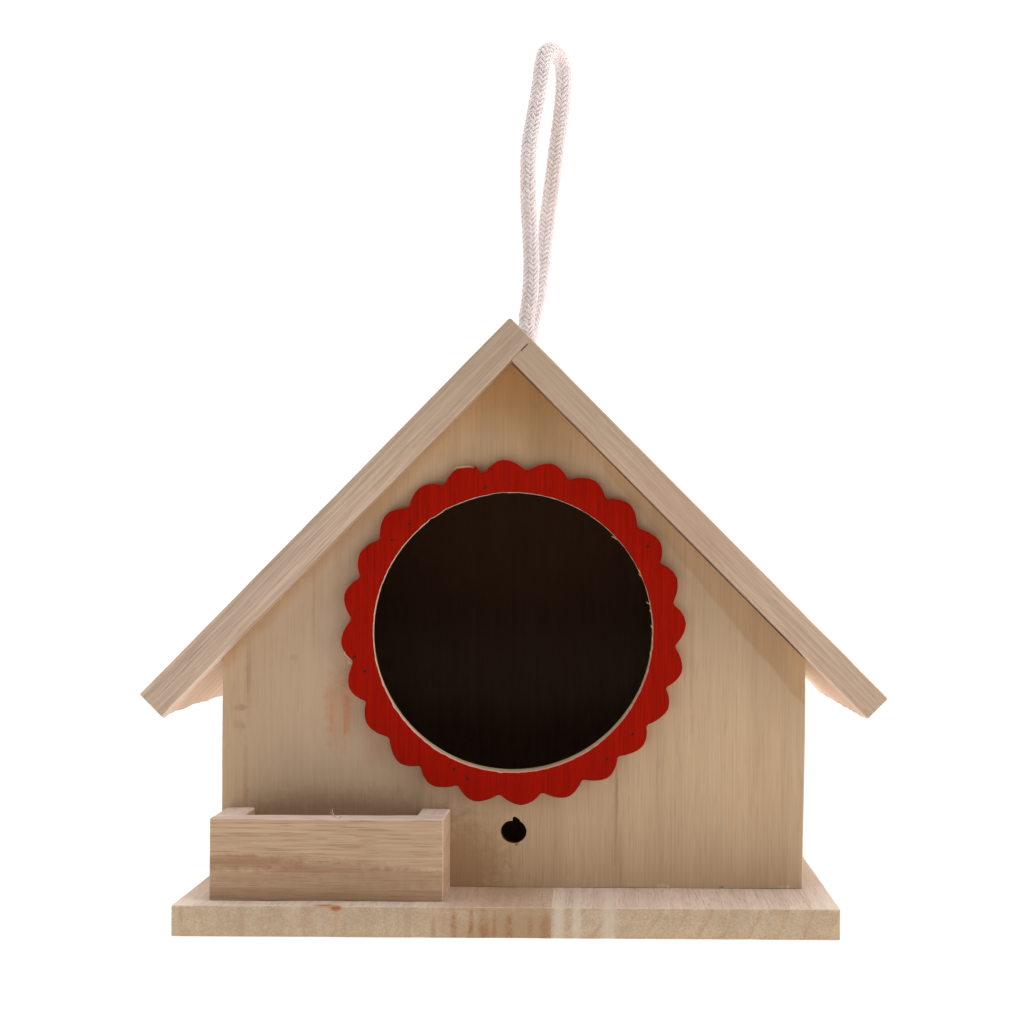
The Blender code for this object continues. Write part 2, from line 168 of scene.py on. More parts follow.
world = bpy.data.worlds.new("white_room")
bpy.context.scene.world = world
world.use_nodes = True
room = world.node_tree
room.nodes.clear()
towards = add_node(room, "TexCoord").outputs["Generated"]
parts = add_node(room, "SeparateXYZ")
feed(room, parts.inputs[0], towards)
from_front = fade(room, parts.outputs["Y"], -0.72, -0.28, ROOM_FRONT, ROOM_SIDES)
strength = fade(room, parts.outputs["Y"], 0.1, 0.8, 0.0, ROOM_BACK - ROOM_SIDES)
light = add_node(room, "Background")
feed(room, light.inputs["Color"], ROOM_WHITE)
feed(room, light.inputs["Strength"], reckon(room, "ADD", from_front, strength))
seen = add_node(room, "Background")
feed(room, seen.inputs["Color"], (1, 1, 1, 1))
feed(room, seen.inputs["Strength"], 1.2)
chosen = add_node(room, "MixShader")
feed(room, chosen.inputs[0], add_node(room, "LightPath").outputs["Is Camera Ray"])
feed(room, chosen.inputs[1], light.outputs[0])
feed(room, chosen.inputs[2], seen.outputs[0])
room.links.new(chosen.outputs[0], add_node(room, "OutputWorld").inputs["Surface"])
bpy.context.scene.view_settings.view_transform = "Standard"
print("room:", ROOM_FRONT, "in front,", ROOM_SIDES, "at the sides")

# %% Table top
TABLE_SIZE = 6.0
TABLE_DIM = (0.20, 0.19, 0.185, 1)
TABLE_BRIGHT = (0.85, 0.83, 0.82, 1)
bpy.ops.object.select_all(action="DESELECT")
bpy.ops.mesh.primitive_plane_add(size=TABLE_SIZE, location=(0, 0, -0.0002))
table = bpy.context.object
table.name = "table_top"
bpy.ops.object.transform_apply(location=True)
table_white, tree, shader = new_material("table_white")
shader.inputs["Base Color"].default_value = (0.82, 0.80, 0.79, 1)
shader.inputs["Roughness"].default_value = 0.9
# The table top glows for all but camera rays, dimly in front of the house and brightly under and behind
# it, standing in for light bounced off a white table.
across_table = add_node(tree, "SeparateXYZ")
feed(tree, across_table.inputs[0], add_node(tree, "TexCoord").outputs["Object"])
behind = fade(tree, across_table.outputs["Y"], -0.16, -0.02)
feed(tree, shader.inputs["Emission Color"], mix_colours(tree, behind, TABLE_DIM, TABLE_BRIGHT))
shader.inputs["Emission Strength"].default_value = 1.0
glow = add_node(tree, "Emission")
glow.inputs["Strength"].default_value = 1.1
both = add_node(tree, "MixShader")
seen_directly = add_node(tree, "LightPath").outputs["Is Camera Ray"]
feed(tree, both.inputs[0], reckon(tree, "MULTIPLY", seen_directly, 0.96))
feed(tree, both.inputs[1], shader.outputs[0])
feed(tree, both.inputs[2], glow.outputs[0])
tree.links.new(both.outputs[0], tree.nodes["Material Output"].inputs["Surface"])
table.data.materials.append(table_white)

# %% Soft lamps
def soft_lamp(name, place, aim, size, power):
    bpy.ops.object.light_add(type="AREA", location=place)
    lamp = bpy.context.object
    lamp.name = name
    lamp.rotation_euler = (Vector(aim) - Vector(place)).to_track_quat("-Z", "Y").to_euler()
    lamp.data.shape = "RECTANGLE"
    lamp.data.size, lamp.data.size_y = size
    lamp.data.energy = power
    return lamp


HOUSE_MIDDLE = (0, 0, 0.09)
soft_lamp("lamp_right", (1.25, -0.45, 0.45), HOUSE_MIDDLE, (0.8, 1.0), 7)
soft_lamp("lamp_left", (-1.25, -0.30, 0.40), HOUSE_MIDDLE, (0.8, 1.0), 2.5)
soft_lamp("lamp_above", (0.1, 0.0, 1.40), HOUSE_MIDDLE, (1.0, 1.0), 9)

# %% [markdown]
# ## Cotton cord
#
# The cord is soft cotton, knitted as a narrow tube: five columns of stitches stand round it, and
# one yarn spirals up through all of them. Seen from outside, each stitch is a small V. A smooth
# tube with a painted pattern would lose the uneven outline, so the yarn itself is made. Its path
# follows the well-known curve of a knit stitch: it swings sideways twice for each time that it
# goes up and down, and its two legs stand proud while its head and foot dip behind. That flat
# curve is wrapped round the cord's own centre line.
#
# The route has its points a centimetre or so apart, and a smooth curve runs through them.

# %% Cord route
CORD_DIAMETER = 0.006
CORD_STEP = 0.001
CORD_FINE_STEPS = 20
CORD_ROUTE = (
    (0.0011, 0.0101, 0.1710), (0.0011, 0.0101, 0.1810), (0.0010, 0.0101, 0.1905),
    (0.0009, 0.0099, 0.1970), (0.0018, 0.0094, 0.2035), (0.0024, 0.0085, 0.2130),
    (0.0021, 0.0076, 0.2235), (0.0014, 0.0068, 0.2355), (0.0012, 0.0063, 0.2475),
    (0.0017, 0.0062, 0.2570), (0.0030, 0.0064, 0.2650), (0.0044, 0.0069, 0.2730),
    (0.0052, 0.0073, 0.2787), (0.0057, 0.0078, 0.2832), (0.0067, 0.0094, 0.2883),
    (0.0091, 0.0132, 0.2905), (0.0116, 0.0171, 0.2886), (0.0127, 0.0188, 0.2845),
    (0.0128, 0.0193, 0.2795), (0.0124, 0.0199, 0.2735), (0.0114, 0.0202, 0.2645),
    (0.0101, 0.0203, 0.2550), (0.0089, 0.0200, 0.2450), (0.0076, 0.0195, 0.2340),
    (0.0064, 0.0187, 0.2225), (0.0052, 0.0178, 0.2120), (0.0040, 0.0170, 0.2040),
    (0.0024, 0.0165, 0.1970), (0.0014, 0.0164, 0.1905), (0.0012, 0.0164, 0.1810),
    (0.0012, 0.0164, 0.1710),
)


def smooth_points(route, step):
    """Points evenly spaced along a smooth curve through the route."""
    route = [Vector(point) for point in route]
    ends = [2 * route[0] - route[1]] + route + [2 * route[-1] - route[-2]]
    fine = []
    for a, b, c, d in zip(ends, ends[1:], ends[2:], ends[3:]):
        for part in range(CORD_FINE_STEPS):
            t = part / CORD_FINE_STEPS
            bend = (2 * a - 5 * b + 4 * c - d) * t ** 2 + (3 * b - a - 3 * c + d) * t ** 3
            fine.append(b + ((c - a) * t + bend) / 2)
    fine.append(route[-1])
    reach = [0.0]
    for one, other in zip(fine, fine[1:]):
        reach.append(reach[-1] + (other - one).length)
    count = max(2, round(reach[-1] / step))
    spaced, at = [], 0
    for index in range(count + 1):
        wanted = reach[-1] * index / count
        while at < len(fine) - 2 and reach[at + 1] < wanted:
            at += 1
        span = max(reach[at + 1] - reach[at], 1e-9)
        spaced.append(fine[at].lerp(fine[at + 1], (wanted - reach[at]) / span))
    return spaced, reach[-1]


cord_centre, cord_length = smooth_points(CORD_ROUTE, CORD_STEP)
print(f"cord: {cord_length * 1000:.0f} mm long, {len(cord_centre)} points")

# %% Knitting a yarn round a centre line
WALES = 5
COURSE = 0.0017
YARN_RADIUS = 0.00066
LEG_SWING = 0.36
LOOP_HEIGHT = 1.0
TUBE_RADIUS = 0.0020
LEG_RISE = 0.00030
LOOP_POINTS = 13
CORE_RADIUS = 0.0019
FIBRES_PER_METRE = 3200
FIBRE_RADIUS = 0.000022
FIBRE_ROOT = 0.0025
FIBRE_REACH = 0.0012


def frames_along(points):
    """For each point its direction and one steady sideways direction, carried along the curve."""
    frames = []
    side = Vector((1, 0, 0))
    for index, point in enumerate(points):
        ahead = points[min(index + 1, len(points) - 1)] - points[max(index - 1, 0)]
        ahead.normalize()
        side = (side - ahead * side.dot(ahead)).normalized()
        frames.append((point, ahead, side))
    return frames


def knit_points(points, length):
    """The yarn's own path, wrapped round the centre line."""
    frames = frames_along(points)
    courses = length / COURSE
    total = int(courses * WALES * LOOP_POINTS)
    wale_width = 2 * math.pi / WALES
    yarn = []
    for index in range(total + 1):
        turn = 2 * math.pi * index / LOOP_POINTS
        angle = wale_width * (turn / (2 * math.pi) + LEG_SWING * math.sin(2 * turn))
        along = COURSE * (turn / (2 * math.pi * WALES) + LOOP_HEIGHT * math.cos(turn))
        along = min(max(along, 0.0), length)
        out = TUBE_RADIUS - LEG_RISE * math.cos(2 * turn)
        place = along / length * (len(points) - 1)
        low = min(int(place), len(points) - 2)
        part = place - low
        centre = frames[low][0].lerp(frames[low + 1][0], part)
        ahead = frames[low][1].lerp(frames[low + 1][1], part).normalized()
        side = frames[low][2].lerp(frames[low + 1][2], part).normalized()
        loose = 1 + 0.10 * noise.noise(Vector((index * 0.05, 3.1, 0)))
        yarn.append(centre + Quaternion(ahead, angle) @ side * out * loose)
    return yarn


def tube(name, strands, radius, resolution):
    """Round tubes with closed ends, one through each strand of points, as one mesh."""
    curve = bpy.data.curves.new(name, "CURVE")
    curve.dimensions = "3D"
    curve.bevel_depth = radius
    curve.bevel_resolution = resolution
    curve.use_fill_caps = True
    for points in strands:
        spline = curve.splines.new("POLY")
        spline.points.add(len(points) - 1)
        for spot, point in zip(spline.points, points):
            spot.co = (*point, 1)
    piece = bpy.data.objects.new(name, curve)
    bpy.context.scene.collection.objects.link(piece)
    bpy.ops.object.select_all(action="DESELECT")
    piece.select_set(True)
    bpy.context.view_layer.objects.active = piece
    bpy.ops.object.convert(target="MESH")
    piece = bpy.context.object
    piece.name = piece.data.name = name
    bpy.ops.object.shade_smooth()
    return piece


def join_pieces(name, pieces):
    bpy.ops.object.select_all(action="DESELECT")
    for piece in pieces:
        piece.select_set(True)
    bpy.context.view_layer.objects.active = pieces[0]
    bpy.ops.object.join()
    whole = bpy.context.object
    whole.name = whole.data.name = name
    return whole


def mark_proud(piece, points):
    """Writes how far out each point of the cord stands, as a share of the cord's radius."""
    centre = KDTree(len(points))
    for index, point in enumerate(points):
        centre.insert(point, index)
    centre.balance()
    proud = piece.data.attributes.new("proud", "FLOAT", "POINT")
    for vertex in piece.data.vertices:
        proud.data[vertex.index].value = centre.find(vertex.co)[2] / (CORD_DIAMETER / 2)


def loose_fibres(points, count, seed):
    """Short curled fibres that stand a little out of the yarn, all along the cord."""
    draw = random.Random(seed)
    frames = frames_along(points)
    strands = []
    for _ in range(count):
        centre, ahead, side = frames[draw.randrange(2, len(frames) - 2)]
        out = Quaternion(ahead, draw.uniform(0, 2 * math.pi)) @ side
        around = ahead.cross(out)
        lean, curl = draw.uniform(-1, 1), draw.uniform(-1, 1)
        reach = draw.uniform(0.4, 1.0) * FIBRE_REACH
        strands.append([
            centre + out * (FIBRE_ROOT + reach * step * (1 - 0.45 * step))
            + ahead * reach * step * lean * 1.6 + around * reach * step * step * curl
            for step in (0.0, 0.33, 0.66, 1.0)
        ])
    return strands


def knitted_cord(name, points, length):
    yarn = tube(name + "_yarn", [knit_points(points, length)], YARN_RADIUS, 1)
    core = tube(name + "_core", [points[::3] + [points[-1]]], CORE_RADIUS, 3)
    fuzz = loose_fibres(points, int(length * FIBRES_PER_METRE), len(points))
    whole = join_pieces(name, [yarn, core, tube(name + "_fuzz", fuzz, FIBRE_RADIUS, 0)])
    mark_proud(whole, points)
    return whole


loop_cord = knitted_cord("cotton_loop", cord_centre, cord_length)
print("loop:", len(loop_cord.data.polygons), "faces")

# %% [markdown]
# ## Knot under the ridge
#
# The two legs of the loop go down through a hole in the ridge and are tied underneath, so that
# the house can't slip off. One leg goes straight down, and the other is wound twice round it and
# leaves the other way. The same knitted cord follows both routes.

# %% Knot
KNOT_X, KNOT_Y = -0.0006, 0.01325
WRAP_RADIUS = 0.0058
WRAP_TOP, WRAP_BOTTOM = 0.1680, 0.1560
WRAP_TURNS = 2.0
WRAP_POINTS = 24

straight_leg = [
    (0.0012, 0.0164, 0.1708), (0.0008, 0.0150, 0.1690), (KNOT_X, KNOT_Y + 0.0006, 0.1660),
    (KNOT_X, KNOT_Y, 0.1610), (KNOT_X, KNOT_Y, 0.1560), (0.0008, KNOT_Y + 0.0012, 0.1510),
    (0.0032, KNOT_Y + 0.0022, 0.1460), (0.0058, KNOT_Y + 0.0030, 0.1420),
]
winding_leg = [(0.0011, 0.0101, 0.1708), (0.0009, 0.0090, 0.1696)]
for step in range(WRAP_POINTS + 1):
    turn = -math.pi / 2 + 2 * math.pi * WRAP_TURNS * step / WRAP_POINTS
    height = WRAP_TOP + (WRAP_BOTTOM - WRAP_TOP) * step / WRAP_POINTS
    winding_leg.append((KNOT_X + WRAP_RADIUS * math.cos(turn),
                        KNOT_Y + WRAP_RADIUS * math.sin(turn), height))
winding_leg += [(-0.0035, 0.0065, 0.1520), (-0.0062, 0.0068, 0.1470), (-0.0085, 0.0075, 0.1425)]
legs = []
for number, route in enumerate((straight_leg, winding_leg)):
    centre, length = smooth_points(route, CORD_STEP)
    legs.append(knitted_cord(f"knot_leg_{number}", centre, length))
knot = join_pieces("cord_knot_tied", legs)
print("knot:", len(knot.data.polygons), "faces")

# %% [markdown]
# ## Cotton
#
# Undyed cotton is warm white and never quite clean. Short fibres lie along and across the yarn,
# so a fine speckle drives both its tone and its relief. Sheen gives the soft light edge that
# loose fibres have. The hollows between the stitches are painted darker, as painted shade, and
# a tan patch of painted shade lies on the back strand of the loop.

# %% Cotton finish
COTTON_LIGHT = (0.93, 0.865, 0.865, 1)
COTTON_SHADE = (0.75, 0.655, 0.64, 1)
COTTON_RECESS_SHADE = (0.42, 0.315, 0.27, 1)
COTTON_SHADE_TAN = (0.52, 0.40, 0.30, 1)

cotton, tree, shader = new_material("cotton")
where = add_node(tree, "TexCoord").outputs["Object"]
fine = speckle(tree, where, 2600, 2.0, 0.6).outputs[0]
broad = speckle(tree, where, 160, 2.0).outputs[0]
tone = mix_colours(tree, fade(tree, fine, 0.35, 0.70), COTTON_SHADE, COTTON_LIGHT)
tone = mix_colours(tree, fade(tree, broad, 0.45, 0.75, 0.0, 0.45), tone, COTTON_SHADE)
proud = add_node(tree, "Attribute", attribute_name="proud").outputs["Fac"]
# Painted shade: where the yarn lies deeper than the cord's outside, it is darkened.
tone = mix_colours(tree, fade(tree, proud, 0.95, 0.74), tone, COTTON_RECESS_SHADE)
# Painted shade: a tan patch on the back strand of the loop, on its side towards the front strand.
from_shaded_side = reckon_vector(tree, "SUBTRACT", where, (0.0098, 0.0170, 0.2560))
stretched = reckon_vector(tree, "MULTIPLY", from_shaded_side, (1 / 0.0030, 1 / 0.009, 1 / 0.034))
tan_shade = fade(tree, reckon_vector(tree, "LENGTH", stretched), 1.0, 0.4, 0.0, 0.28)
tone = mix_colours(tree, tan_shade, tone, COTTON_SHADE_TAN)
feed(tree, shader.inputs["Base Color"], tone)
shader.inputs["Roughness"].default_value = 0.95
shader.inputs["Sheen Weight"].default_value = 0.25
shader.inputs["Sheen Roughness"].default_value = 0.5
relief = add_node(tree, "Bump")
relief.inputs["Strength"].default_value = 0.6
relief.inputs["Distance"].default_value = 0.00010
feed(tree, relief.inputs["Height"], fine)
feed(tree, shader.inputs["Normal"], relief.outputs[0])
for piece in (loop_cord, knot):
    piece.data.materials.clear()
    piece.data.materials.append(cotton)

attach(loop_cord, "root")
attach(knot, "root")
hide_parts("hanging_cord")
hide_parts("cord_knot")
print("cord declared:", round(cord_length, 4), "m")

# %% [markdown]
# ## Boards
#
# Every board starts as a block between two corners, taken from the frame. Blender's cube is
# added there and given its size. Slanting faces are sawn off with Bisect, which cuts a mesh
# along a plane and closes the cut, just as a saw would. The sharp corners are then eased with a
# small bevel, as sandpaper does. At last the long edges are divided and each point is moved by a
# tiny smooth noise, because no sawn board is perfectly straight.

# %% Board helpers
EASED = 0.00045
SAW_WANDER = 0.00012


def select_only(piece):
    if bpy.context.object and bpy.context.object.mode != "OBJECT":
        bpy.ops.object.mode_set(mode="OBJECT")
    bpy.ops.object.select_all(action="DESELECT")
    piece.select_set(True)
    bpy.context.view_layer.objects.active = piece


def block(name, low, high):
    """A block between two corners, with its place in its mesh."""
    bpy.ops.object.select_all(action="DESELECT")
    low, high = Vector(low), Vector(high)
    bpy.ops.mesh.primitive_cube_add(size=1, location=(low + high) / 2)
    piece = bpy.context.object
    piece.name = piece.data.name = name
    piece.scale = high - low
    bpy.ops.object.transform_apply(location=True, rotation=True, scale=True)
    return piece


def saw(piece, point, outward):
    """Cuts the piece along a plane and drops what lies beyond it, on the outward side."""
    select_only(piece)
    bpy.ops.object.mode_set(mode="EDIT")
    bpy.ops.mesh.select_all(action="SELECT")
    bpy.ops.mesh.bisect(plane_co=point, plane_no=outward, use_fill=True, clear_outer=True)
    bpy.ops.object.mode_set(mode="OBJECT")


def score(piece, point, outward):
    """Divides the piece's faces along a plane, and takes nothing away."""
    select_only(piece)
    bpy.ops.object.mode_set(mode="EDIT")
    bpy.ops.mesh.select_all(action="SELECT")
    bpy.ops.mesh.bisect(plane_co=point, plane_no=outward)
    bpy.ops.object.mode_set(mode="OBJECT")


def pick_edges(piece, test):
    """Goes into edit mode with only the edges that pass the test selected."""
    select_only(piece)
    bpy.ops.object.mode_set(mode="EDIT")
    bpy.ops.mesh.select_mode(type="EDGE")
    bpy.ops.mesh.select_all(action="DESELECT")
    mesh = bmesh.from_edit_mesh(piece.data)
    picked = [edge for edge in mesh.edges if test(edge)]
    for edge in picked:
        edge.select = True
    mesh.select_flush_mode()
    bmesh.update_edit_mesh(piece.data)
    return len(picked)


def ease(piece, width=EASED, segments=3, test=None, clamp=True):
    """Rounds the sharp edges, or only those that pass the test."""
    def sharp(edge):
        turned = len(edge.link_faces) == 2 and edge.calc_face_angle(0) > math.radians(35)
        return turned and (test is None or test((edge.verts[0].co + edge.verts[1].co) / 2))
    if pick_edges(piece, sharp):
        bpy.ops.mesh.bevel(offset=width, segments=segments, affect="EDGES", clamp_overlap=clamp)
    bpy.ops.object.mode_set(mode="OBJECT")


def divide(piece, direction, cuts):
    """Divides every edge that runs along a direction into equal parts."""
    direction = Vector(direction).normalized()

    def along(edge):
        span = edge.verts[1].co - edge.verts[0].co
        return span.length > 0.006 and abs(span.normalized().dot(direction)) > 0.999
    if pick_edges(piece, along):
        bpy.ops.mesh.subdivide(number_cuts=cuts, ngon=True)
    bpy.ops.object.mode_set(mode="OBJECT")


def unsettle(piece, amount=SAW_WANDER, size=0.012, seed=0.0):
    """Moves every point by a smooth noise, so that edges waver as a saw's do."""
    shift = Vector((seed, seed * 0.7, seed * 1.3))
    for vertex in piece.data.vertices:
        vertex.co += noise.noise_vector(vertex.co / size + shift) * amount
    piece.data.update()


def smooth_look(piece):
    """Rounded edges shade smoothly while the flat faces stay flat."""
    select_only(piece)
    bpy.ops.object.shade_smooth_by_angle(angle=math.radians(50))
    bpy.ops.object.modifier_add(type="WEIGHTED_NORMAL")
    piece.modifiers[-1].keep_sharp = True
    bpy.ops.object.modifier_apply(modifier=piece.modifiers[-1].name)


def carve(piece, cutter):
    """Takes the cutter's shape out of the piece, and removes the cutter."""
    select_only(piece)
    bpy.ops.object.modifier_add(type="BOOLEAN")
    tool = piece.modifiers[-1]
    tool.operation = "DIFFERENCE"
    tool.solver = "EXACT"
    tool.object = cutter
    bpy.ops.object.modifier_apply(modifier=tool.name)
    bpy.data.objects.remove(cutter)


def rod(name, centre, radius, length, sides, axis="Y"):
    """A round rod with its place in its mesh, for cutting holes."""
    bpy.ops.object.select_all(action="DESELECT")
    turn = {"X": (0, math.pi / 2, 0), "Y": (math.pi / 2, 0, 0), "Z": (0, 0, 0)}[axis]
    bpy.ops.mesh.primitive_cylinder_add(vertices=sides, radius=radius, depth=length,
                                        location=centre, rotation=turn)
    piece = bpy.context.object
    piece.name = piece.data.name = name
    bpy.ops.object.transform_apply(location=True, rotation=True, scale=True)
    return piece


def corners(node):
    low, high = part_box(node)
    return low.copy(), high.copy()


print("board helpers ready")

# %% [markdown]
# ## The roof's slopes
#
# Both slopes are worked out from the roof boards' own boxes: the ridge is the left board's
# highest line, and each eave's outer corner is its board's outermost line. The gables and the
# side walls are sawn along lines under these slopes, so they are worked out first.

# %% Slopes
ROOF_THICK = {-1: 0.0097, 1: 0.0092}
GAP = 0.0003
RIDGE_X = -0.00195
EAVE_Z = 0.0704
left_low, left_high = corners("roof_left")
right_low, right_high = corners("roof_right")
RIDGE_Z = left_high.z
EAVES = {-1: left_low.x, 1: right_high.x}


class Slope:
    """One side of the roof: side is -1 on the left and 1 on the right."""

    def __init__(self, side):
        down = Vector((EAVES[side] - RIDGE_X, 0, EAVE_Z - RIDGE_Z))
        self.thick = ROOF_THICK[side]
        self.length = down.length
        self.down = down.normalized()
        self.outward = Vector((side * abs(self.down.z), 0, abs(self.down.x)))

    def point(self, along, depth):
        ridge = Vector((RIDGE_X, 0, RIDGE_Z))
        return ridge + self.down * along - self.outward * depth

    def depth(self, point):
        """How far a point lies under the board's outer face."""
        return (Vector((RIDGE_X, 0, RIDGE_Z)) - point).dot(self.outward)


LEFT, RIGHT = Slope(-1), Slope(1)
for slope in (LEFT, RIGHT):
    print("ridge", round(RIDGE_Z, 5), "eave", round(EAVES[1], 5), end=" ")
    print(f"slope {math.degrees(math.asin(-slope.down.z)):.1f} degrees, {slope.length:.4f} m long")

# %% [markdown]
# ## Roof boards
#
# Each roof board is a block as large as its box, sawn along four planes: its outer face, its
# underside, its eave and its ridge joint. The left board runs over the ridge and the right one
# butts against it. The hole for the cord is drilled through both. The eaves are the roughest
# edges on the house: the saw has torn their lower corner, so those edges get a stronger noise.

# %% Roof boards
EAVE_TEAR = 0.00045
RIDGE_EASED = 0.0009
FRONT_CHAMFER = {LEFT: 0.0004, RIGHT: 0.0007}
SLIT_FROM, SLIT_TO = 0.0020, 0.0049
SLIT_WIDTH = 0.00032
CORD_HOLE_RADIUS = 0.0067
CORD_HOLE_AT = (0.00115, 0.01325)


def in_joint(point):
    """Tells whether a point lies where the two boards meet at the ridge."""
    at_underside = abs(LEFT.depth(point) - LEFT.thick) < 0.0004
    return at_underside and RIGHT.depth(point) < RIGHT.thick + 0.0004


def roof_board(name, low, high, slope, joint_point, joint_outward, seed):
    margin = Vector((0.02, 0, 0.02))
    piece = block(name, low - margin, high + margin)
    saw(piece, slope.point(0, 0), slope.outward)
    saw(piece, slope.point(0, slope.thick), -slope.outward)
    saw(piece, slope.point(slope.length, 0), slope.down)
    saw(piece, joint_point, joint_outward)
    score(piece, RIGHT.point(0, RIGHT.thick), RIGHT.outward)
    ease(piece, RIDGE_EASED, 5, lambda middle: middle.z > RIDGE_Z - 0.0003, clamp=False)
    chamfered = FRONT_CHAMFER[slope]
    ease(piece, chamfered, 3, lambda middle: middle.y < low.y + 0.0001 and not in_joint(middle)
         and slope.depth(middle) > slope.thick - 0.0001, clamp=False)
    ease(piece, EASED, 3, lambda middle: not in_joint(middle), clamp=False)
    divide(piece, (0, 1, 0), 40)
    divide(piece, slope.down, 36)
    unsettle(piece, SAW_WANDER, 0.010, seed)
    eave = slope.point(slope.length, slope.thick)
    for vertex in piece.data.vertices:
        near = 1 - min((vertex.co - eave).dot(-slope.down) / 0.003, 1)
        under = 1 - min(abs((vertex.co - eave).dot(slope.outward)) / 0.003, 1)
        if near > 0 and under > 0:
            tear = noise.noise(Vector((seed, vertex.co.y * 130, 0)))
            fine = noise.noise(Vector((seed + 5, vertex.co.y * 500, 0)))
            front_lump = max(1 - abs(vertex.co.y - low.y - 0.0035) / 0.005, 0) * (slope is LEFT)
            push = near * under * EAVE_TEAR * (tear + 0.35 * fine + 0.35 + 1.6 * front_lump)
            vertex.co += (slope.down - slope.outward) * push
    cutter = rod("drill", (*CORD_HOLE_AT, RIDGE_Z), CORD_HOLE_RADIUS, 0.06, 64, "Z")
    carve(piece, cutter)
    smooth_look(piece)
    return piece


def ridge_slit():
    """The thin wedge of air where the right board doesn't quite reach the left one."""
    middle = LEFT.point(0, LEFT.thick)
    middle.y = right_low.y
    reach = Vector((0.02, 0.004, 0.02))
    piece = block("slit", middle - reach, middle + reach)
    saw(piece, LEFT.point(0, LEFT.thick - 0.00003), LEFT.outward)
    saw(piece, LEFT.point(0, LEFT.thick + SLIT_WIDTH), -LEFT.outward)
    saw(piece, RIGHT.point(0, SLIT_FROM), RIGHT.outward)
    saw(piece, RIGHT.point(0, SLIT_TO), -RIGHT.outward)
    return piece


over_ridge = (RIGHT.point(0, 0), RIGHT.outward)
roof_left = roof_board("roof_left_board", left_low, left_high, LEFT, *over_ridge, 1.7)
under_left = (LEFT.point(0, LEFT.thick), LEFT.outward)
roof_right = roof_board("roof_right_board", right_low, right_high, RIGHT, *under_left, 6.2)
carve(roof_right, ridge_slit())
print("roof:", len(roof_left.data.polygons), "and", len(roof_right.data.polygons), "faces")

# %% [markdown]
# ## Gables and side walls
#
# The gables are blocks sawn off under both slopes, and the walls are sawn under one. The front
# gable is slightly out of square: its right edge leans in towards the foot by about a
# millimetre. Its entrance is drilled with a rod as wide as the ring's opening. The small hole
# below it once held a perch, and the drill has torn the wood above and below.

# %% Gables and walls
ring_low, ring_high = corners("entrance_ring")
RING_X, RING_Z = -0.00057, 0.0903
ENTRANCE_RADIUS = 0.0442
PERCH_X, PERCH_Z, PERCH_RADIUS = -0.00014, 0.0271, 0.00412
PERCH_FLATTER = 0.89
OUT_OF_SQUARE = 0.0011
AIR_UNDER_ROOF = {LEFT: 0.00003, RIGHT: 0.00030}
ENTRANCE_DRILL_RADIUS = ENTRANCE_RADIUS + 0.0006
ENTRANCE_DRILL_X, ENTRANCE_DRILL_Z = RING_X - 0.0006, RING_Z + 0.0004


def under_roof(piece, *slopes):
    for slope in slopes:
        saw(piece, slope.point(0, slope.thick + AIR_UNDER_ROOF[slope]), slope.outward)


def gable(name, node, seed):
    low, high = corners(node)
    piece = block(name, (low.x, low.y, low.z - 0.0002), (high.x, high.y, high.z + 0.01))
    under_roof(piece, LEFT, RIGHT)
    return piece, low, high


def torn_rod(name):
    """The perch hole's shape: a rod with one tear at its top and a shallow one at its foot."""
    piece = rod(name, (PERCH_X, -0.0375, PERCH_Z), PERCH_RADIUS, 0.03, 120)
    for vertex in piece.data.vertices:
        x, z = vertex.co.x - PERCH_X, vertex.co.z - PERCH_Z
        angle = math.atan2(z, x)
        out = 1 + 0.018 * noise.noise(Vector((math.cos(angle) * 4, math.sin(angle) * 4, 2.0)))
        z *= PERCH_FLATTER
        if z > 0 and -0.0004 < x < 0.0019:
            z += 0.0010 * (1 - 0.5 * max(x - 0.0008, 0) / 0.0011)
        if z > 0 and -0.0018 < x <= -0.0004:
            z -= 0.00035 * (1 + (x + 0.0004) / 0.0014)
        vertex.co.x, vertex.co.z = PERCH_X + x * out, PERCH_Z + z * out
    return piece


front_panel, front_low, front_high = gable("front_gable", "front_panel", 2.0)
lean_foot = Vector((front_high.x - 0.0006, 0, front_low.z))
lean = Vector((OUT_OF_SQUARE, 0, 0.085)).normalized()
saw(front_panel, lean_foot, Vector((lean.z, 0, -lean.x)))
carve(front_panel, rod("entrance_drill", (ENTRANCE_DRILL_X, -0.0375, ENTRANCE_DRILL_Z),
                       ENTRANCE_DRILL_RADIUS, 0.03, 192))
carve(front_panel, torn_rod("perch_drill"))
ease(front_panel, 0.00035, 2, lambda middle: abs(middle.x) > 0.08
     and LEFT.depth(middle) > LEFT.thick + 0.001 and RIGHT.depth(middle) > RIGHT.thick + 0.001)
divide(front_panel, (0, 0, 1), 40)
divide(front_panel, lean, 40)
unsettle(front_panel, 0.00010, 0.014, 3.0)
smooth_look(front_panel)

back_panel, back_low, back_high = gable("back_gable", "back_panel", 9.0)
ease(back_panel)
divide(back_panel, (0, 0, 1), 40)
unsettle(back_panel, 0.00010, 0.014, 9.0)
smooth_look(back_panel)

walls = []
for name, node, slope in (("left_side_wall", "left_wall", LEFT),
                          ("right_side_wall", "right_wall", RIGHT)):
    low, high = corners(node)
    wall = block(name, (low.x, low.y - GAP, low.z - 0.0002), (high.x, high.y + GAP, high.z + 0.01))
    under_roof(wall, slope)
    ease(wall, 0.0003, 2)
    divide(wall, (0, 0, 1), 20)
    unsettle(wall, 0.00008, 0.014, low.x * 50)
    smooth_look(wall)
    walls.append(wall)
left_wall, right_wall = walls
print("front gable:", len(front_panel.data.polygons), "faces")

# %% [markdown]
# ## Base
#
# The base is two planks glued edge to edge and sanded together, so the joint shows only as a
# change of grain. That is why the edges along the joint stay sharp, while all others are eased.

# %% Base planks
BASE_SEAM_X = 0.01275


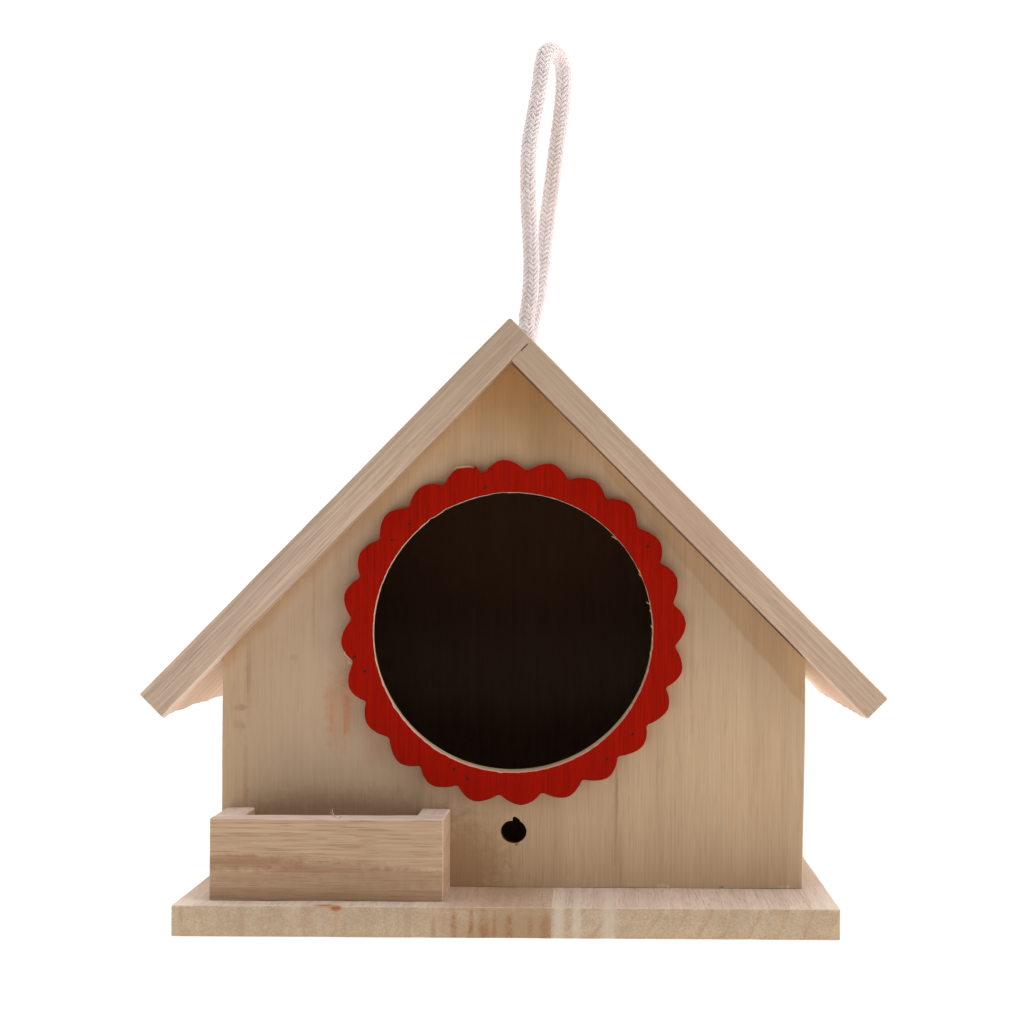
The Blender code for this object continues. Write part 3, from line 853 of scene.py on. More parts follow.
def base_plank(name, node, seam_side, seed):
    low, high = corners(node)
    if seam_side > 0:
        high.x = BASE_SEAM_X
    else:
        low.x = BASE_SEAM_X
    piece = block(name, low, high)
    ease(piece, 0.0004, 3, lambda middle: abs(middle.x - BASE_SEAM_X) > 0.0002)
    divide(piece, (1, 0, 0), 44)
    divide(piece, (0, 1, 0), 30)
    shift = Vector((seed, 0, 0))
    for vertex in piece.data.vertices:
        rough = noise.noise_vector(vertex.co / 0.006 + shift) * 0.00010
        rough.z = rough.z if vertex.co.z > 0.001 else max(rough.z, 0.0)
        if abs(vertex.co.x - BASE_SEAM_X) > 0.0003:
            vertex.co += rough
    smooth_look(piece)
    return piece


base_left = base_plank("base_plank_left", "base_left_plank", 1, 4.0)
base_right = base_plank("base_plank_right", "base_right_plank", -1, 8.0)
print("base:", len(base_left.data.polygons) + len(base_right.data.polygons), "faces")

# %% [markdown]
# ## Feeder tray
#
# Three short boards stand on the base's front edge and make a tray with the gable as its back.
# They are cut by hand, so their top edges waver a little more than the others do.

# %% Feeder boards
SPLINTER_RADIUS = 0.00010


def feeder_board(name, node, axis, seed, width=0.00045):
    low, high = corners(node)
    low.z -= 0.0002
    if axis.y:
        low.y -= 0.00025
        high.y += 0.00025
    piece = block(name, low, high)
    ease(piece, width, 3, lambda middle: middle.z > low.z + 0.0004)
    divide(piece, axis, 40 if axis.x else 12)
    unsettle(piece, 0.00020, 0.011, seed)
    smooth_look(piece)
    return piece


X_AXIS, Y_AXIS = Vector((1, 0, 0)), Vector((0, 1, 0))
feeder_front = feeder_board("feeder_front_board", "feeder_front", X_AXIS, 2.4)
splinter = tube("splinter", [
    [(-0.0533, -0.0645, 0.0340), (-0.0540, -0.0646, 0.0350), (-0.0551, -0.0648, 0.0360)],
    [(-0.0533, -0.0645, 0.0340), (-0.0544, -0.0644, 0.0358), (-0.0546, -0.0645, 0.0370)],
    [(-0.0526, -0.0645, 0.0341), (-0.0519, -0.0646, 0.0346), (-0.0516, -0.0648, 0.0345)],
], SPLINTER_RADIUS, 1)
feeder_front = join_pieces("feeder_front_board", [feeder_front, splinter])
feeder_left = feeder_board("feeder_left_board", "feeder_left_end", Y_AXIS, 5.1)
feeder_right = feeder_board("feeder_right_board", "feeder_right_end", Y_AXIS, 7.9)

# %% [markdown]
# ## Scalloped ring
#
# The red ring is fretsawn from thin board. Blender's circle gives a loop of points for the
# entrance, and a second one for the outside, whose points are then moved in towards each valley
# and out to each lobe. Bridge Edge Loops fills the ring between them, and extruding gives it
# its thickness. Each lobe is drawn by hand, so each is a little larger, smaller or further round
# than the last. One lobe at the upper left has lost its tip.

# %% Ring
SCALLOPS = 24
POINTS_PER_LOBE = 30
TIP_RADIUS = 0.05455
VALLEY_DEPTH = 0.00335
VALLEY_RADIUS = 0.05155
FIRST_TIP = math.radians(93)
BROKEN_LOBE = 1
BROKEN_EDGE = ((-0.50, 0.0512), (-0.43, 0.0513), (-0.37, 0.0525), (-0.335, 0.0542),
               (-0.30, 0.0534), (-0.23, 0.0538), (0.0, 0.0545), (0.108, 0.0546),
               (0.235, 0.0540), (0.347, 0.0530), (0.50, 0.0513))

draw = random.Random(24)
lobe_growth = [draw.uniform(-0.00020, 0.00020) for _ in range(SCALLOPS)]
lobe_turn = [draw.uniform(-0.06, 0.06) for _ in range(SCALLOPS)]


def scallop_radius(angle):
    pitch = 2 * math.pi / SCALLOPS
    from_first = (angle - FIRST_TIP) / pitch
    lobe = round(from_first) % SCALLOPS
    offset = from_first - round(from_first)
    share = min(abs(offset - lobe_turn[lobe] * (1 - 4 * offset ** 2)) * 2, 1)
    radius = TIP_RADIUS + lobe_growth[lobe] * (1 - share) - VALLEY_DEPTH * share ** 1.75
    if lobe == BROKEN_LOBE:
        for (near, low), (far, high) in zip(BROKEN_EDGE, BROKEN_EDGE[1:]):
            if near <= offset <= far:
                return low + (high - low) * (offset - near) / (far - near)
    return max(radius, VALLEY_RADIUS)


def on_ring(degrees, radius, lift=0.0):
    """A point at an angle and a distance from the ring's middle, lifted off its front."""
    turn = math.radians(degrees)
    return (RING_X + radius * math.cos(turn), ring_low.y + 0.0004 - lift,
            RING_Z + radius * math.sin(turn))


def ring_fibres():
    """Torn fibres: along the broken lobe, at one valley on the left, and round the opening."""
    strands = [
        [on_ring(104.6, 0.0536), on_ring(105.6, 0.0543, 0.0002), on_ring(107.0, 0.0549, 0.0003),
         on_ring(108.4, 0.0547)],
        [on_ring(106.5, 0.0542), on_ring(107.6, 0.0548, 0.0002), on_ring(109.2, 0.0552, 0.0002),
         on_ring(110.2, 0.0548)],
        [on_ring(103.8, 0.0533), on_ring(104.6, 0.0541, 0.0002), on_ring(105.4, 0.0546, 0.0003)],
        [on_ring(189.6, 0.0522), on_ring(188.6, 0.0530, 0.0003), on_ring(187.4, 0.0536, 0.0004),
         on_ring(186.4, 0.0534, 0.0003), on_ring(186.2, 0.0529, 0.0002)],
        [on_ring(191.5, 0.0516), on_ring(191.0, 0.0524, 0.0002), on_ring(190.2, 0.0529, 0.0003)],
    ]
    for degrees, reach in ((43.3, 0.0007), (42.0, 0.0004), (24.0, 0.0004), (12.0, 0.0010),
                           (8.5, 0.0005), (2.0, 0.0006), (-3.0, 0.0004), (-9.0, 0.0005)):
        strands.append([on_ring(degrees, ENTRANCE_RADIUS + 0.0001),
                        on_ring(degrees + 0.5, ENTRANCE_RADIUS - reach * 0.6, 0.0001),
                        on_ring(degrees + 1.4, ENTRANCE_RADIUS - reach, 0.0002)])
    fibres = tube("ring_fibres", strands, 0.00009, 1)
    bare = fibres.data.attributes.new("bare", "FLOAT", "POINT")
    for vertex in fibres.data.vertices:
        bare.data[vertex.index].value = 1.0
    return fibres


def loop_of_points(name, radius, y):
    bpy.ops.mesh.primitive_circle_add(vertices=SCALLOPS * POINTS_PER_LOBE, radius=radius,
                                      location=(RING_X, y, RING_Z), rotation=(math.pi / 2, 0, 0))
    piece = bpy.context.object
    piece.name = name
    bpy.ops.object.transform_apply(location=True, rotation=True, scale=True)
    return piece


def make_ring():
    front_y = ring_low.y
    bpy.ops.object.select_all(action="DESELECT")
    outer = loop_of_points("ring_outside", TIP_RADIUS, front_y)
    for vertex in outer.data.vertices:
        spoke = Vector((vertex.co.x - RING_X, 0, vertex.co.z - RING_Z))
        angle = math.atan2(spoke.z, spoke.x)
        rough = noise.noise(Vector((vertex.co.x, 0, vertex.co.z)) * 700) * 0.00006
        spoke = spoke.normalized() * (scallop_radius(angle) + rough)
        vertex.co = Vector((RING_X + spoke.x, vertex.co.y, RING_Z + spoke.z))
    inner = loop_of_points("ring_inside", ENTRANCE_RADIUS, front_y)
    for vertex in inner.data.vertices:
        chip = max(noise.noise(vertex.co * 330 + Vector((4, 0, 0))) - 0.25, 0) * 0.0007
        spoke = Vector((vertex.co.x - RING_X, 0, vertex.co.z - RING_Z))
        vertex.co += spoke.normalized() * chip
    whole = join_pieces("scalloped_ring", [outer, inner])
    select_only(whole)
    bpy.ops.object.mode_set(mode="EDIT")
    bpy.ops.mesh.select_all(action="SELECT")
    bpy.ops.mesh.bridge_edge_loops()
    bpy.ops.mesh.select_all(action="SELECT")
    thickness = ring_high.y - ring_low.y + 0.0002
    bpy.ops.mesh.extrude_region_move(TRANSFORM_OT_translate={"value": (0, thickness, 0)})
    bpy.ops.mesh.select_all(action="SELECT")
    bpy.ops.mesh.normals_make_consistent(inside=False)
    bpy.ops.object.mode_set(mode="OBJECT")
    ease(whole, 0.00020, 2)
    smooth_look(whole)
    return join_pieces("scalloped_ring", [whole, ring_fibres()])


ring = make_ring()
print("ring:", len(ring.data.polygons), "faces")

# %% [markdown]
# ## Wood grain
#
# Wood is a bundle of long fibres in rings round the tree's pith. A picture wrapped on a board
# would show the same lines on its face and on its end. Here the wood is solid: a node group
# takes a point in the board, with Z along the grain, and works out how far it is from the pith.
# That distance gives the rings, which then show as lines on a face and as arcs on an end. Noise
# that is squeezed across the grain and drawn out along it gives fibres, streaks and pores.
#
# The group puts out only values. Each board's material mixes its own colours with them.

# %% Wood grain group
def new_group(name, inputs, outputs):
    group = bpy.data.node_groups.new(name, "ShaderNodeTree")
    for socket, kind, value in inputs:
        made = group.interface.new_socket(socket, in_out="INPUT", socket_type="NodeSocket" + kind)
        if value is not None:
            made.default_value = value
    for socket in outputs:
        group.interface.new_socket(socket, in_out="OUTPUT", socket_type="NodeSocketFloat")
    entry = group.nodes.new("NodeGroupInput")
    leave = group.nodes.new("NodeGroupOutput")
    return group, entry.outputs, leave.inputs


grain_group, given, out = new_group(
    "Wood Grain",
    (("Point", "Vector", None), ("Ring Width", "Float", 0.006), ("Wander", "Float", 0.004)),
    ("Bands", "Lines", "Streaks", "Fibres", "Pores", "Clouds"),
)


def drawn_out(share):
    """The point with its coordinate along the grain made smaller, so that a noise runs long."""
    return reckon_vector(grain_group, "MULTIPLY", given["Point"], (1, 1, share))


sway = speckle(grain_group, drawn_out(0.14), 24, 1.5)
sway = reckon_vector(grain_group, "SUBTRACT", sway.outputs["Color"], (0.5, 0.5, 0.5))
sway_scale = add_node(grain_group, "VectorMath", operation="SCALE")
feed(grain_group, sway_scale.inputs[0], sway)
feed(grain_group, sway_scale.inputs["Scale"], given["Wander"])
swayed = reckon_vector(grain_group, "ADD", given["Point"], sway_scale.outputs[0])
across = reckon_vector(grain_group, "MULTIPLY", swayed, (1, 1, 0.004))
from_pith = reckon_vector(grain_group, "LENGTH", across)
ring_count = reckon(grain_group, "DIVIDE", from_pith, given["Ring Width"])
bands = add_node(grain_group, "TexNoise", noise_dimensions="1D")
feed(grain_group, bands.inputs["W"], ring_count)
bands.inputs["Scale"].default_value = 0.9
bands.inputs["Detail"].default_value = 2.0
within = reckon(grain_group, "FRACT", ring_count)
line = reckon(grain_group, "POWER", within, 7.0)
feed(grain_group, out["Bands"], fade(grain_group, bands.outputs[0], 0.3, 0.7))
feed(grain_group, out["Lines"], line)
streaks = speckle(grain_group, drawn_out(0.022), 330, 2.5, 0.6).outputs[0]
feed(grain_group, out["Streaks"], fade(grain_group, streaks, 0.28, 0.72))
fibres = speckle(grain_group, drawn_out(0.020), 1500, 2.0, 0.6).outputs[0]
feed(grain_group, out["Fibres"], fade(grain_group, fibres, 0.25, 0.75))
pores = speckle(grain_group, drawn_out(0.05), 2300, 0.0).outputs[0]
feed(grain_group, out["Pores"], fade(grain_group, pores, 0.60, 0.72))
clouds = speckle(grain_group, drawn_out(0.35), 26, 2.0).outputs[0]
feed(grain_group, out["Clouds"], fade(grain_group, clouds, 0.3, 0.7))
print("group:", grain_group.name)

# %% [markdown]
# ## Marks, and worn and lit edges
#
# Two more groups are shared. One gives a mark: a soft spot of a given size round a given place,
# with a ragged border, for knots, stains and glue, and also for patches of painted shade and
# painted light. The other finds the eased edges, which are painted pale as wear and as a painted
# highlight: on a flat face the surface points along one of the board's own axes, and on a rounded
# edge it points between them, so the largest of the three parts of its direction is below one.

# %% Mark group and edge group
mark_group, given, out = new_group(
    "Mark",
    (("Point", "Vector", None), ("Centre", "Vector", (0, 0, 0)),
     ("Half Size", "Vector", (0.01, 1, 0.01)), ("Ragged", "Float", 0.35)),
    ("Mask",),
)
apart = reckon_vector(mark_group, "SUBTRACT", given["Point"], given["Centre"])
apart = reckon_vector(mark_group, "DIVIDE", apart, given["Half Size"])
distance = reckon_vector(mark_group, "LENGTH", apart)
ragged = speckle(mark_group, given["Point"], 420, 3.0, 0.65).outputs[0]
ragged = reckon(mark_group, "MULTIPLY", reckon(mark_group, "SUBTRACT", ragged, 0.5), given["Ragged"])
distance = reckon(mark_group, "ADD", distance, reckon(mark_group, "MULTIPLY", ragged, 3.0))
feed(mark_group, out["Mask"], fade(mark_group, distance, 1.0, 0.25))

worn_lit_edge_group, given, out = new_group(
    "Worn And Lit Edge", (("Direction", "Vector", None), ("Point", "Vector", None)), ("Mask",))
sizes = add_node(worn_lit_edge_group, "VectorMath", operation="ABSOLUTE")
feed(worn_lit_edge_group, sizes.inputs[0], given["Direction"])
axes = add_node(worn_lit_edge_group, "SeparateXYZ")
feed(worn_lit_edge_group, axes.inputs[0], sizes.outputs[0])
largest = reckon(worn_lit_edge_group, "MAXIMUM", axes.outputs[0], axes.outputs[1])
largest = reckon(worn_lit_edge_group, "MAXIMUM", largest, axes.outputs[2])
rounded = fade(worn_lit_edge_group, largest, 0.995, 0.88)
patchy = speckle(worn_lit_edge_group, given["Point"], 300, 2.0).outputs[0]
feed(worn_lit_edge_group, out["Mask"], reckon(worn_lit_edge_group, "MULTIPLY", rounded,
                                     fade(worn_lit_edge_group, patchy, 0.3, 0.6, 0.45, 1.0)))
print("groups:", mark_group.name, "and", worn_lit_edge_group.name)

# %% [markdown]
# ## Painted shade inside and under the eaves
#
# The inside of the house is painted a dusky brown, as painted shade, and darker towards the top.
# It is the box between the gables and the side walls, so a point's place is enough to tell. Under
# the roof the gables get a warm brown painted shade: in a narrow strip on the left, in a patch
# with a clear edge on the right, and all over near the apex.

# %% Painted inside shade group and painted eave shade group
INSIDE_MIDDLE = (-0.00035, 0.01362, 0.095)
INSIDE_HALF = (0.0837, 0.04690, 0.0862)

inside_shade_group, given, out = new_group("Inside", (("Point", "Vector", None),), ("Mask",))
reach = reckon_vector(inside_shade_group, "SUBTRACT", given["Point"], INSIDE_MIDDLE)
reach = reckon_vector(inside_shade_group, "DIVIDE", reach, INSIDE_HALF)
size = add_node(inside_shade_group, "VectorMath", operation="ABSOLUTE")
feed(inside_shade_group, size.inputs[0], reach)
axes = add_node(inside_shade_group, "SeparateXYZ")
feed(inside_shade_group, axes.inputs[0], size.outputs[0])
largest = reckon(inside_shade_group, "MAXIMUM", axes.outputs[0], axes.outputs[1])
largest = reckon(inside_shade_group, "MAXIMUM", largest, axes.outputs[2])
feed(inside_shade_group, out["Mask"], fade(inside_shade_group, largest, 1.008, 0.998))

# Painted warm shade on the gables under the roof: a strip under the left slope, a patch past a straight
# edge on the right, and the apex.
STRIP_REACH = 0.0045
SHADE_EDGE_POINT = (0.0299, 0, 0.1398)
SHADE_EDGE_OUTWARD = (0.7616, 0, 0.648)
APEX_FROM, APEX_FULL = 0.134, 0.172
eave_shade_group, given, out = new_group("Painted Eave Shade", (("Point", "Vector", None),), ("Mask",))


def waver(scale, amount):
    uneven = speckle(eave_shade_group, given["Point"], scale, 2.0).outputs[0]
    return reckon(eave_shade_group, "MULTIPLY", reckon(eave_shade_group, "SUBTRACT", uneven, 0.5), amount)


below = reckon_vector(eave_shade_group, "SUBTRACT", LEFT.point(0, LEFT.thick), given["Point"])
left_depth = reckon_vector(eave_shade_group, "DOT_PRODUCT", below, LEFT.outward)
left_depth = reckon(eave_shade_group, "ADD", left_depth, waver(120, 0.004))
strip = fade(eave_shade_group, left_depth, STRIP_REACH, 0.0, 0.0, 0.65)
above = reckon_vector(eave_shade_group, "SUBTRACT", given["Point"], SHADE_EDGE_POINT)
past_shade_edge = reckon_vector(eave_shade_group, "DOT_PRODUCT", above, SHADE_EDGE_OUTWARD)
past_shade_edge = reckon(eave_shade_group, "ADD", past_shade_edge, waver(160, 0.0022))
patch = fade(eave_shade_group, past_shade_edge, -0.0005, 0.0007, 0.0, 0.42)
height = add_node(eave_shade_group, "SeparateXYZ")
feed(eave_shade_group, height.inputs[0], given["Point"])
height = reckon(eave_shade_group, "ADD", height.outputs["Z"], waver(45, 0.020))
apex = fade(eave_shade_group, height, APEX_FROM, APEX_FULL)
feed(eave_shade_group, out["Mask"],
     reckon(eave_shade_group, "MAXIMUM", reckon(eave_shade_group, "MAXIMUM", strip, patch), apex))
print("groups:", inside_shade_group.name, "and", eave_shade_group.name)

# %% [markdown]
# ## Wood finish
#
# One function makes a board's material. It turns the point so that Z runs along that board's
# grain, moves it so that the pith lies where the board's rings say, and lays the colours one
# over another: pale wood, darker bands, growth lines, painted light on level faces, painted
# light and shade on roof undersides, painted warm shade under the eaves, streaks, fibres, pores,
# marks, pale edges that are partly wear and partly painted highlight, painted shade in the perch
# hole, and painted shade inside the house.

# %% Wood finish
UPRIGHT = (0, 0, 0)
FRONT_TO_BACK = (math.pi / 2, 0, 0)
SIDE_TO_SIDE = (0, math.pi / 2, 0)


def use_group(tree, group, **values):
    made = add_node(tree, "Group")
    made.node_tree = group
    for name, value in values.items():
        feed(tree, made.inputs[name.replace("_", " ")], value)
    return made.outputs


def wood(name, grain, pith, pale, dark, line, band=0.5, lines=0.5, ring_width=0.006,
         wander=0.006, marks=(), streak=0.07, fibre=0.11, pore=0.16, edge=0.30, rough=0.66,
         flat=(0.66, 0.535, 0.455, 1), level_light_amount=0.0, under=None, eave_shade=0.0, shaded_bore=None,
         cloud=0.06, relief_strength=0.40):
    """A board's material. Marks are (centre, half size, colour, strength, ragged)."""
    material, tree, shader = new_material(name)
    where = add_node(tree, "TexCoord").outputs["Object"]
    turned = add_node(tree, "Mapping", vector_type="POINT")
    feed(tree, turned.inputs["Vector"], where)
    turned.inputs["Rotation"].default_value = grain
    turned.inputs["Location"].default_value = (-pith[0], -pith[1], pith[2])
    wood_at = use_group(tree, grain_group, Point=turned.outputs[0],
                        Ring_Width=ring_width, Wander=wander)
    tone = mix_colours(tree, reckon(tree, "MULTIPLY", wood_at["Bands"], band), pale, dark)
    tone = mix_colours(tree, reckon(tree, "MULTIPLY", wood_at["Lines"], lines), tone, line)
    direction = add_node(tree, "TexCoord").outputs["Normal"]
    upward = add_node(tree, "SeparateXYZ")
    feed(tree, upward.inputs[0], direction)
    # Level faces, tops and undersides, get a paler pink colour: painted light from above and below.
    level = fade(tree, reckon(tree, "ABSOLUTE", upward.outputs["Z"]), 0.25, 0.60, 0.0, level_light_amount)
    tone = mix_colours(tree, level, tone, flat)
    spot = add_node(tree, "SeparateXYZ")
    feed(tree, spot.inputs[0], where)
    # Downward faces get painted light, a bright peach, on the overhang, and painted shade, a tan, over
    # the walls.
    if under:
        past_wall = fade(tree, reckon(tree, "ABSOLUTE", spot.outputs["X"]), 0.086, 0.094)
        downward = fade(tree, upward.outputs["Z"], -0.25, -0.60)
        tone = mix_colours(tree, downward, tone, mix_colours(tree, past_wall, UNDER_PAINTED_SHADE, under))
    # Painted warm shade under the roof, multiplied into the colour.
    if eave_shade:
        shade = use_group(tree, eave_shade_group, Point=where)["Mask"]
        tone = mix_colours(tree, reckon(tree, "MULTIPLY", shade, eave_shade), tone, WARM_PAINTED_SHADE,
                           "MULTIPLY")
    for value, amount in (("Clouds", cloud), ("Streaks", streak), ("Fibres", fibre)):
        shade = fade(tree, wood_at[value], 0.0, 1.0, 1 - amount, 1 + amount * 0.45)
        tone = mix_colours(tree, 1.0, tone, shade, "MULTIPLY")
    tone = mix_colours(tree, reckon(tree, "MULTIPLY", wood_at["Pores"], pore), tone, line)
    in_streaks = reckon(tree, "ADD", wood_at["Streaks"], wood_at["Fibres"])
    in_streaks = fade(tree, in_streaks, 0.5, 1.4, 0.35, 1.25)
    for centre, half, colour, strength, ragged in marks:
        mask = use_group(tree, mark_group, Point=where, Centre=centre, Half_Size=half,
                         Ragged=ragged)["Mask"]
        if ragged >= STREAKY:
            mask = reckon(tree, "MULTIPLY", mask, in_streaks)
        tone = mix_colours(tree, reckon(tree, "MULTIPLY", mask, strength), tone, (*colour, 1))
    # Rounded edges are painted pale: partly wear, partly a painted highlight.
    facing = add_node(tree, "VectorRotate", rotation_type="EULER_XYZ")
    feed(tree, facing.inputs["Vector"], direction)
    facing.inputs["Rotation"].default_value = grain
    worn_and_lit = use_group(tree, worn_lit_edge_group, Direction=facing.outputs[0], Point=where)["Mask"]
    tone = mix_colours(tree, reckon(tree, "MULTIPLY", worn_and_lit, edge), tone, EDGE_WEAR_AND_HIGHLIGHT)
    # Painted shade on the wall of the perch hole.
    if shaded_bore:
        wall = fade(tree, reckon(tree, "ABSOLUTE", upward.outputs["Y"]), 0.8, 0.4)
        near = use_group(tree, mark_group, Point=where, Centre=shaded_bore, Half_Size=BORE_HALF,
                         Ragged=0.0)["Mask"]
        tone = mix_colours(tree, reckon(tree, "MULTIPLY", wall, near), tone, BORE_PAINTED_SHADE)
    # Painted shade on the inside faces, stronger towards the top.
    inside = use_group(tree, inside_shade_group, Point=where)["Mask"]
    if under:
        inside = reckon(tree, "MULTIPLY", inside, downward)
    inside_shade_amount = fade(tree, spot.outputs["Z"], 0.045, 0.10, *INSIDE_SHADE_AMOUNTS)
    tone = mix_colours(tree, reckon(tree, "MULTIPLY", inside, inside_shade_amount), tone, INSIDE_PAINTED_SHADE)
    feed(tree, shader.inputs["Base Color"], tone)
    shader.inputs["Specular IOR Level"].default_value = 0.20
    feed(tree, shader.inputs["Roughness"],
         fade(tree, wood_at["Fibres"], 0.0, 1.0, rough - 0.06, rough + 0.14))
    height = reckon(tree, "ADD", reckon(tree, "MULTIPLY", wood_at["Fibres"], 0.6),
                    reckon(tree, "MULTIPLY", wood_at["Streaks"], 0.4))
    height = reckon(tree, "SUBTRACT", height, wood_at["Pores"])
    relief = add_node(tree, "Bump")
    relief.inputs["Strength"].default_value = relief_strength
    relief.inputs["Distance"].default_value = 0.00010
    feed(tree, relief.inputs["Height"], height)
    feed(tree, shader.inputs["Normal"], relief.outputs[0])
    return material


STREAKY = 0.30
# Painted shade inside the house: its colour, and how strong it is low down and high up.
INSIDE_PAINTED_SHADE = (0.075, 0.030, 0.010, 1)
INSIDE_SHADE_AMOUNTS = (0.62, 0.985)
# Painted shade in the perch hole: its reach and its colour.
BORE_HALF = (0.012, 0.040, 0.012)
BORE_PAINTED_SHADE = (0.12, 0.065, 0.030, 1)
# Pale rounded edges: wear and a painted highlight.
EDGE_WEAR_AND_HIGHLIGHT = (0.72, 0.575, 0.455, 1)
# Painted warm shade under the roof.
WARM_PAINTED_SHADE = (0.80, 0.615, 0.385, 1)
# Roof undersides: painted light on the overhang, painted shade over the walls.
UNDER_PAINTED_LIGHT = (0.84, 0.675, 0.545, 1)
UNDER_PAINTED_SHADE = (0.58, 0.415, 0.290, 1)
PALE = (0.600, 0.430, 0.272, 1)
DARK = (0.48, 0.315, 0.180, 1)
LINE = (0.30, 0.165, 0.090, 1)
ROOF_PALE = (0.620, 0.470, 0.355, 1)
ROOF_DARK = (0.47, 0.340, 0.245, 1)
ROOF_TAN = (0.610, 0.445, 0.320, 1)
RIDGE_PAINTED_SHADE = (0.40, 0.290, 0.200)
BASE_PALE = (0.545, 0.425, 0.295, 1)
BASE_DARK = (0.45, 0.315, 0.200, 1)
BASE_LINE = (0.40, 0.225, 0.120, 1)
FEEDER_PALE = (0.560, 0.385, 0.250, 1)
FEEDER_DARK = (0.45, 0.290, 0.175, 1)
print("wood colours ready")

# %% [markdown]
# ## The boards' own finishes
#
# Each board gets its own pith and its own marks. The gables' grain stands upright, the feeder's
# runs from side to side, the base's from front to back, and each roof board's runs down its
# slope. A dark growth line and a small knot mark the front gable's left side.

# %% Front and back gables, walls
STAIN_PINK = (0.50, 0.21, 0.10)
KNOT_BROWN = (0.34, 0.21, 0.14)
LINE_BROWN = (0.36, 0.21, 0.12)
# Painted shade at the gable's foot near the feeder tray.
PAINTED_SHADE_BROWN = (0.33, 0.185, 0.090)
GLUE = (0.80, 0.62, 0.36)
SPECK = (0.03, 0.02, 0.015)

front_marks = (
    ((-0.0560, 0, 0.0700), (0.0520, 1, 0.0900), (0.47, 0.345, 0.25), 0.45, 0.15),
    # Painted shade at the gable's foot, behind and beside the feeder tray.
    ((-0.0170, 0, 0.0150), (0.0210, 1, 0.0240), PAINTED_SHADE_BROWN, 0.62, 0.25),
    ((-0.0550, 0, 0.0300), (0.0480, 1, 0.0140), PAINTED_SHADE_BROWN, 0.55, 0.20),
    ((-0.0560, 0, 0.1120), (0.0020, 1, 0.0400), LINE_BROWN, 0.22, 0.30),
    ((-0.0640, 0, 0.1000), (0.0009, 1, 0.0300), LINE_BROWN, 0.22, 0.30),
    ((-0.0905, 0, 0.0860), (0.0016, 1, 0.0080), (0.50, 0.25, 0.11), 0.70, 0.45),
    ((-0.0845, 0, 0.0760), (0.0013, 1, 0.0150), LINE_BROWN, 0.60, 0.35),
    ((-0.0853, 0, 0.0440), (0.0011, 1, 0.0170), LINE_BROWN, 0.50, 0.35),
    ((-0.0868, 0, 0.0660), (0.0040, 1, 0.0014), KNOT_BROWN, 0.50, 0.45),
    ((-0.0875, 0, 0.0600), (0.0028, 1, 0.0024), KNOT_BROWN, 0.35, 0.60),
    ((0.0323, 0, 0.0330), (0.0010, 1, 0.0260), LINE_BROWN, 0.60, 0.35),
    ((0.0338, 0, 0.0200), (0.0008, 1, 0.0160), LINE_BROWN, 0.50, 0.35),
    ((0.0140, 0, 0.0450), (0.0007, 1, 0.0240), LINE_BROWN, 0.25, 0.35),
    ((0.0560, 0, 0.0800), (0.0008, 1, 0.0300), LINE_BROWN, 0.20, 0.35),
    ((-0.0555, 0, 0.0650), (0.0065, 1, 0.0170), STAIN_PINK, 0.80, 0.30),
    ((-0.0445, 0, 0.0560), (0.0060, 1, 0.0120), STAIN_PINK, 0.18, 0.35),
    ((-0.0700, 0, 0.0820), (0.0020, 1, 0.0014), STAIN_PINK, 0.30, 0.35),
    ((0.0058, 0, 0.1620), (0.0016, 1, 0.0014), KNOT_BROWN, 0.70, 0.50),
    ((0.0008, 0, 0.0231), (0.0008, 1, 0.0008), (0.20, 0.08, 0.06), 0.80, 0.20),
    ((0.0466, 0, 0.0102), (0.0015, 1, 0.0011), GLUE, 0.90, 0.70),
    ((0.0490, 0, 0.0100), (0.0008, 1, 0.0008), GLUE, 0.80, 0.60),
    ((0.0855, 0, 0.0100), (0.0030, 1, 0.0009), GLUE, 0.75, 0.60),
    ((0.0658, 0, 0.0098), (0.0011, 1, 0.0006), SPECK, 0.95, 0.30),
)
front_wood = wood("front_wood", UPRIGHT, (-0.05, 0.060, 0.0), PALE, DARK, LINE,
                  ring_width=0.0110, wander=0.012, lines=0.07, band=0.24, marks=front_marks,
                  streak=0.035, fibre=0.06, pore=0.12, eave_shade=1.0,
                  shaded_bore=(PERCH_X, -0.0375, PERCH_Z), relief_strength=0.25)
back_wood = wood("back_wood", UPRIGHT, (0.03, 0.130, 1.3), PALE, DARK, LINE,
                 ring_width=0.0095, wander=0.010, lines=0.16, band=0.3, streak=0.05,
                 fibre=0.08, eave_shade=0.5)
wall_wood = wood("wall_wood", UPRIGHT, (0.0, 0.090, 2.1), PALE, DARK, LINE,
                 ring_width=0.0090, wander=0.009, lines=0.16, band=0.3, streak=0.05,
                 fibre=0.08)
print("gable finishes:", len(front_marks), "marks on the front")

# %% Roof boards' finishes
def slope_turn(slope):
    """The turn about Y that lays a slope's own direction along Z."""
    up = -slope.down
    return (0, -math.atan2(up.x, up.z), 0)


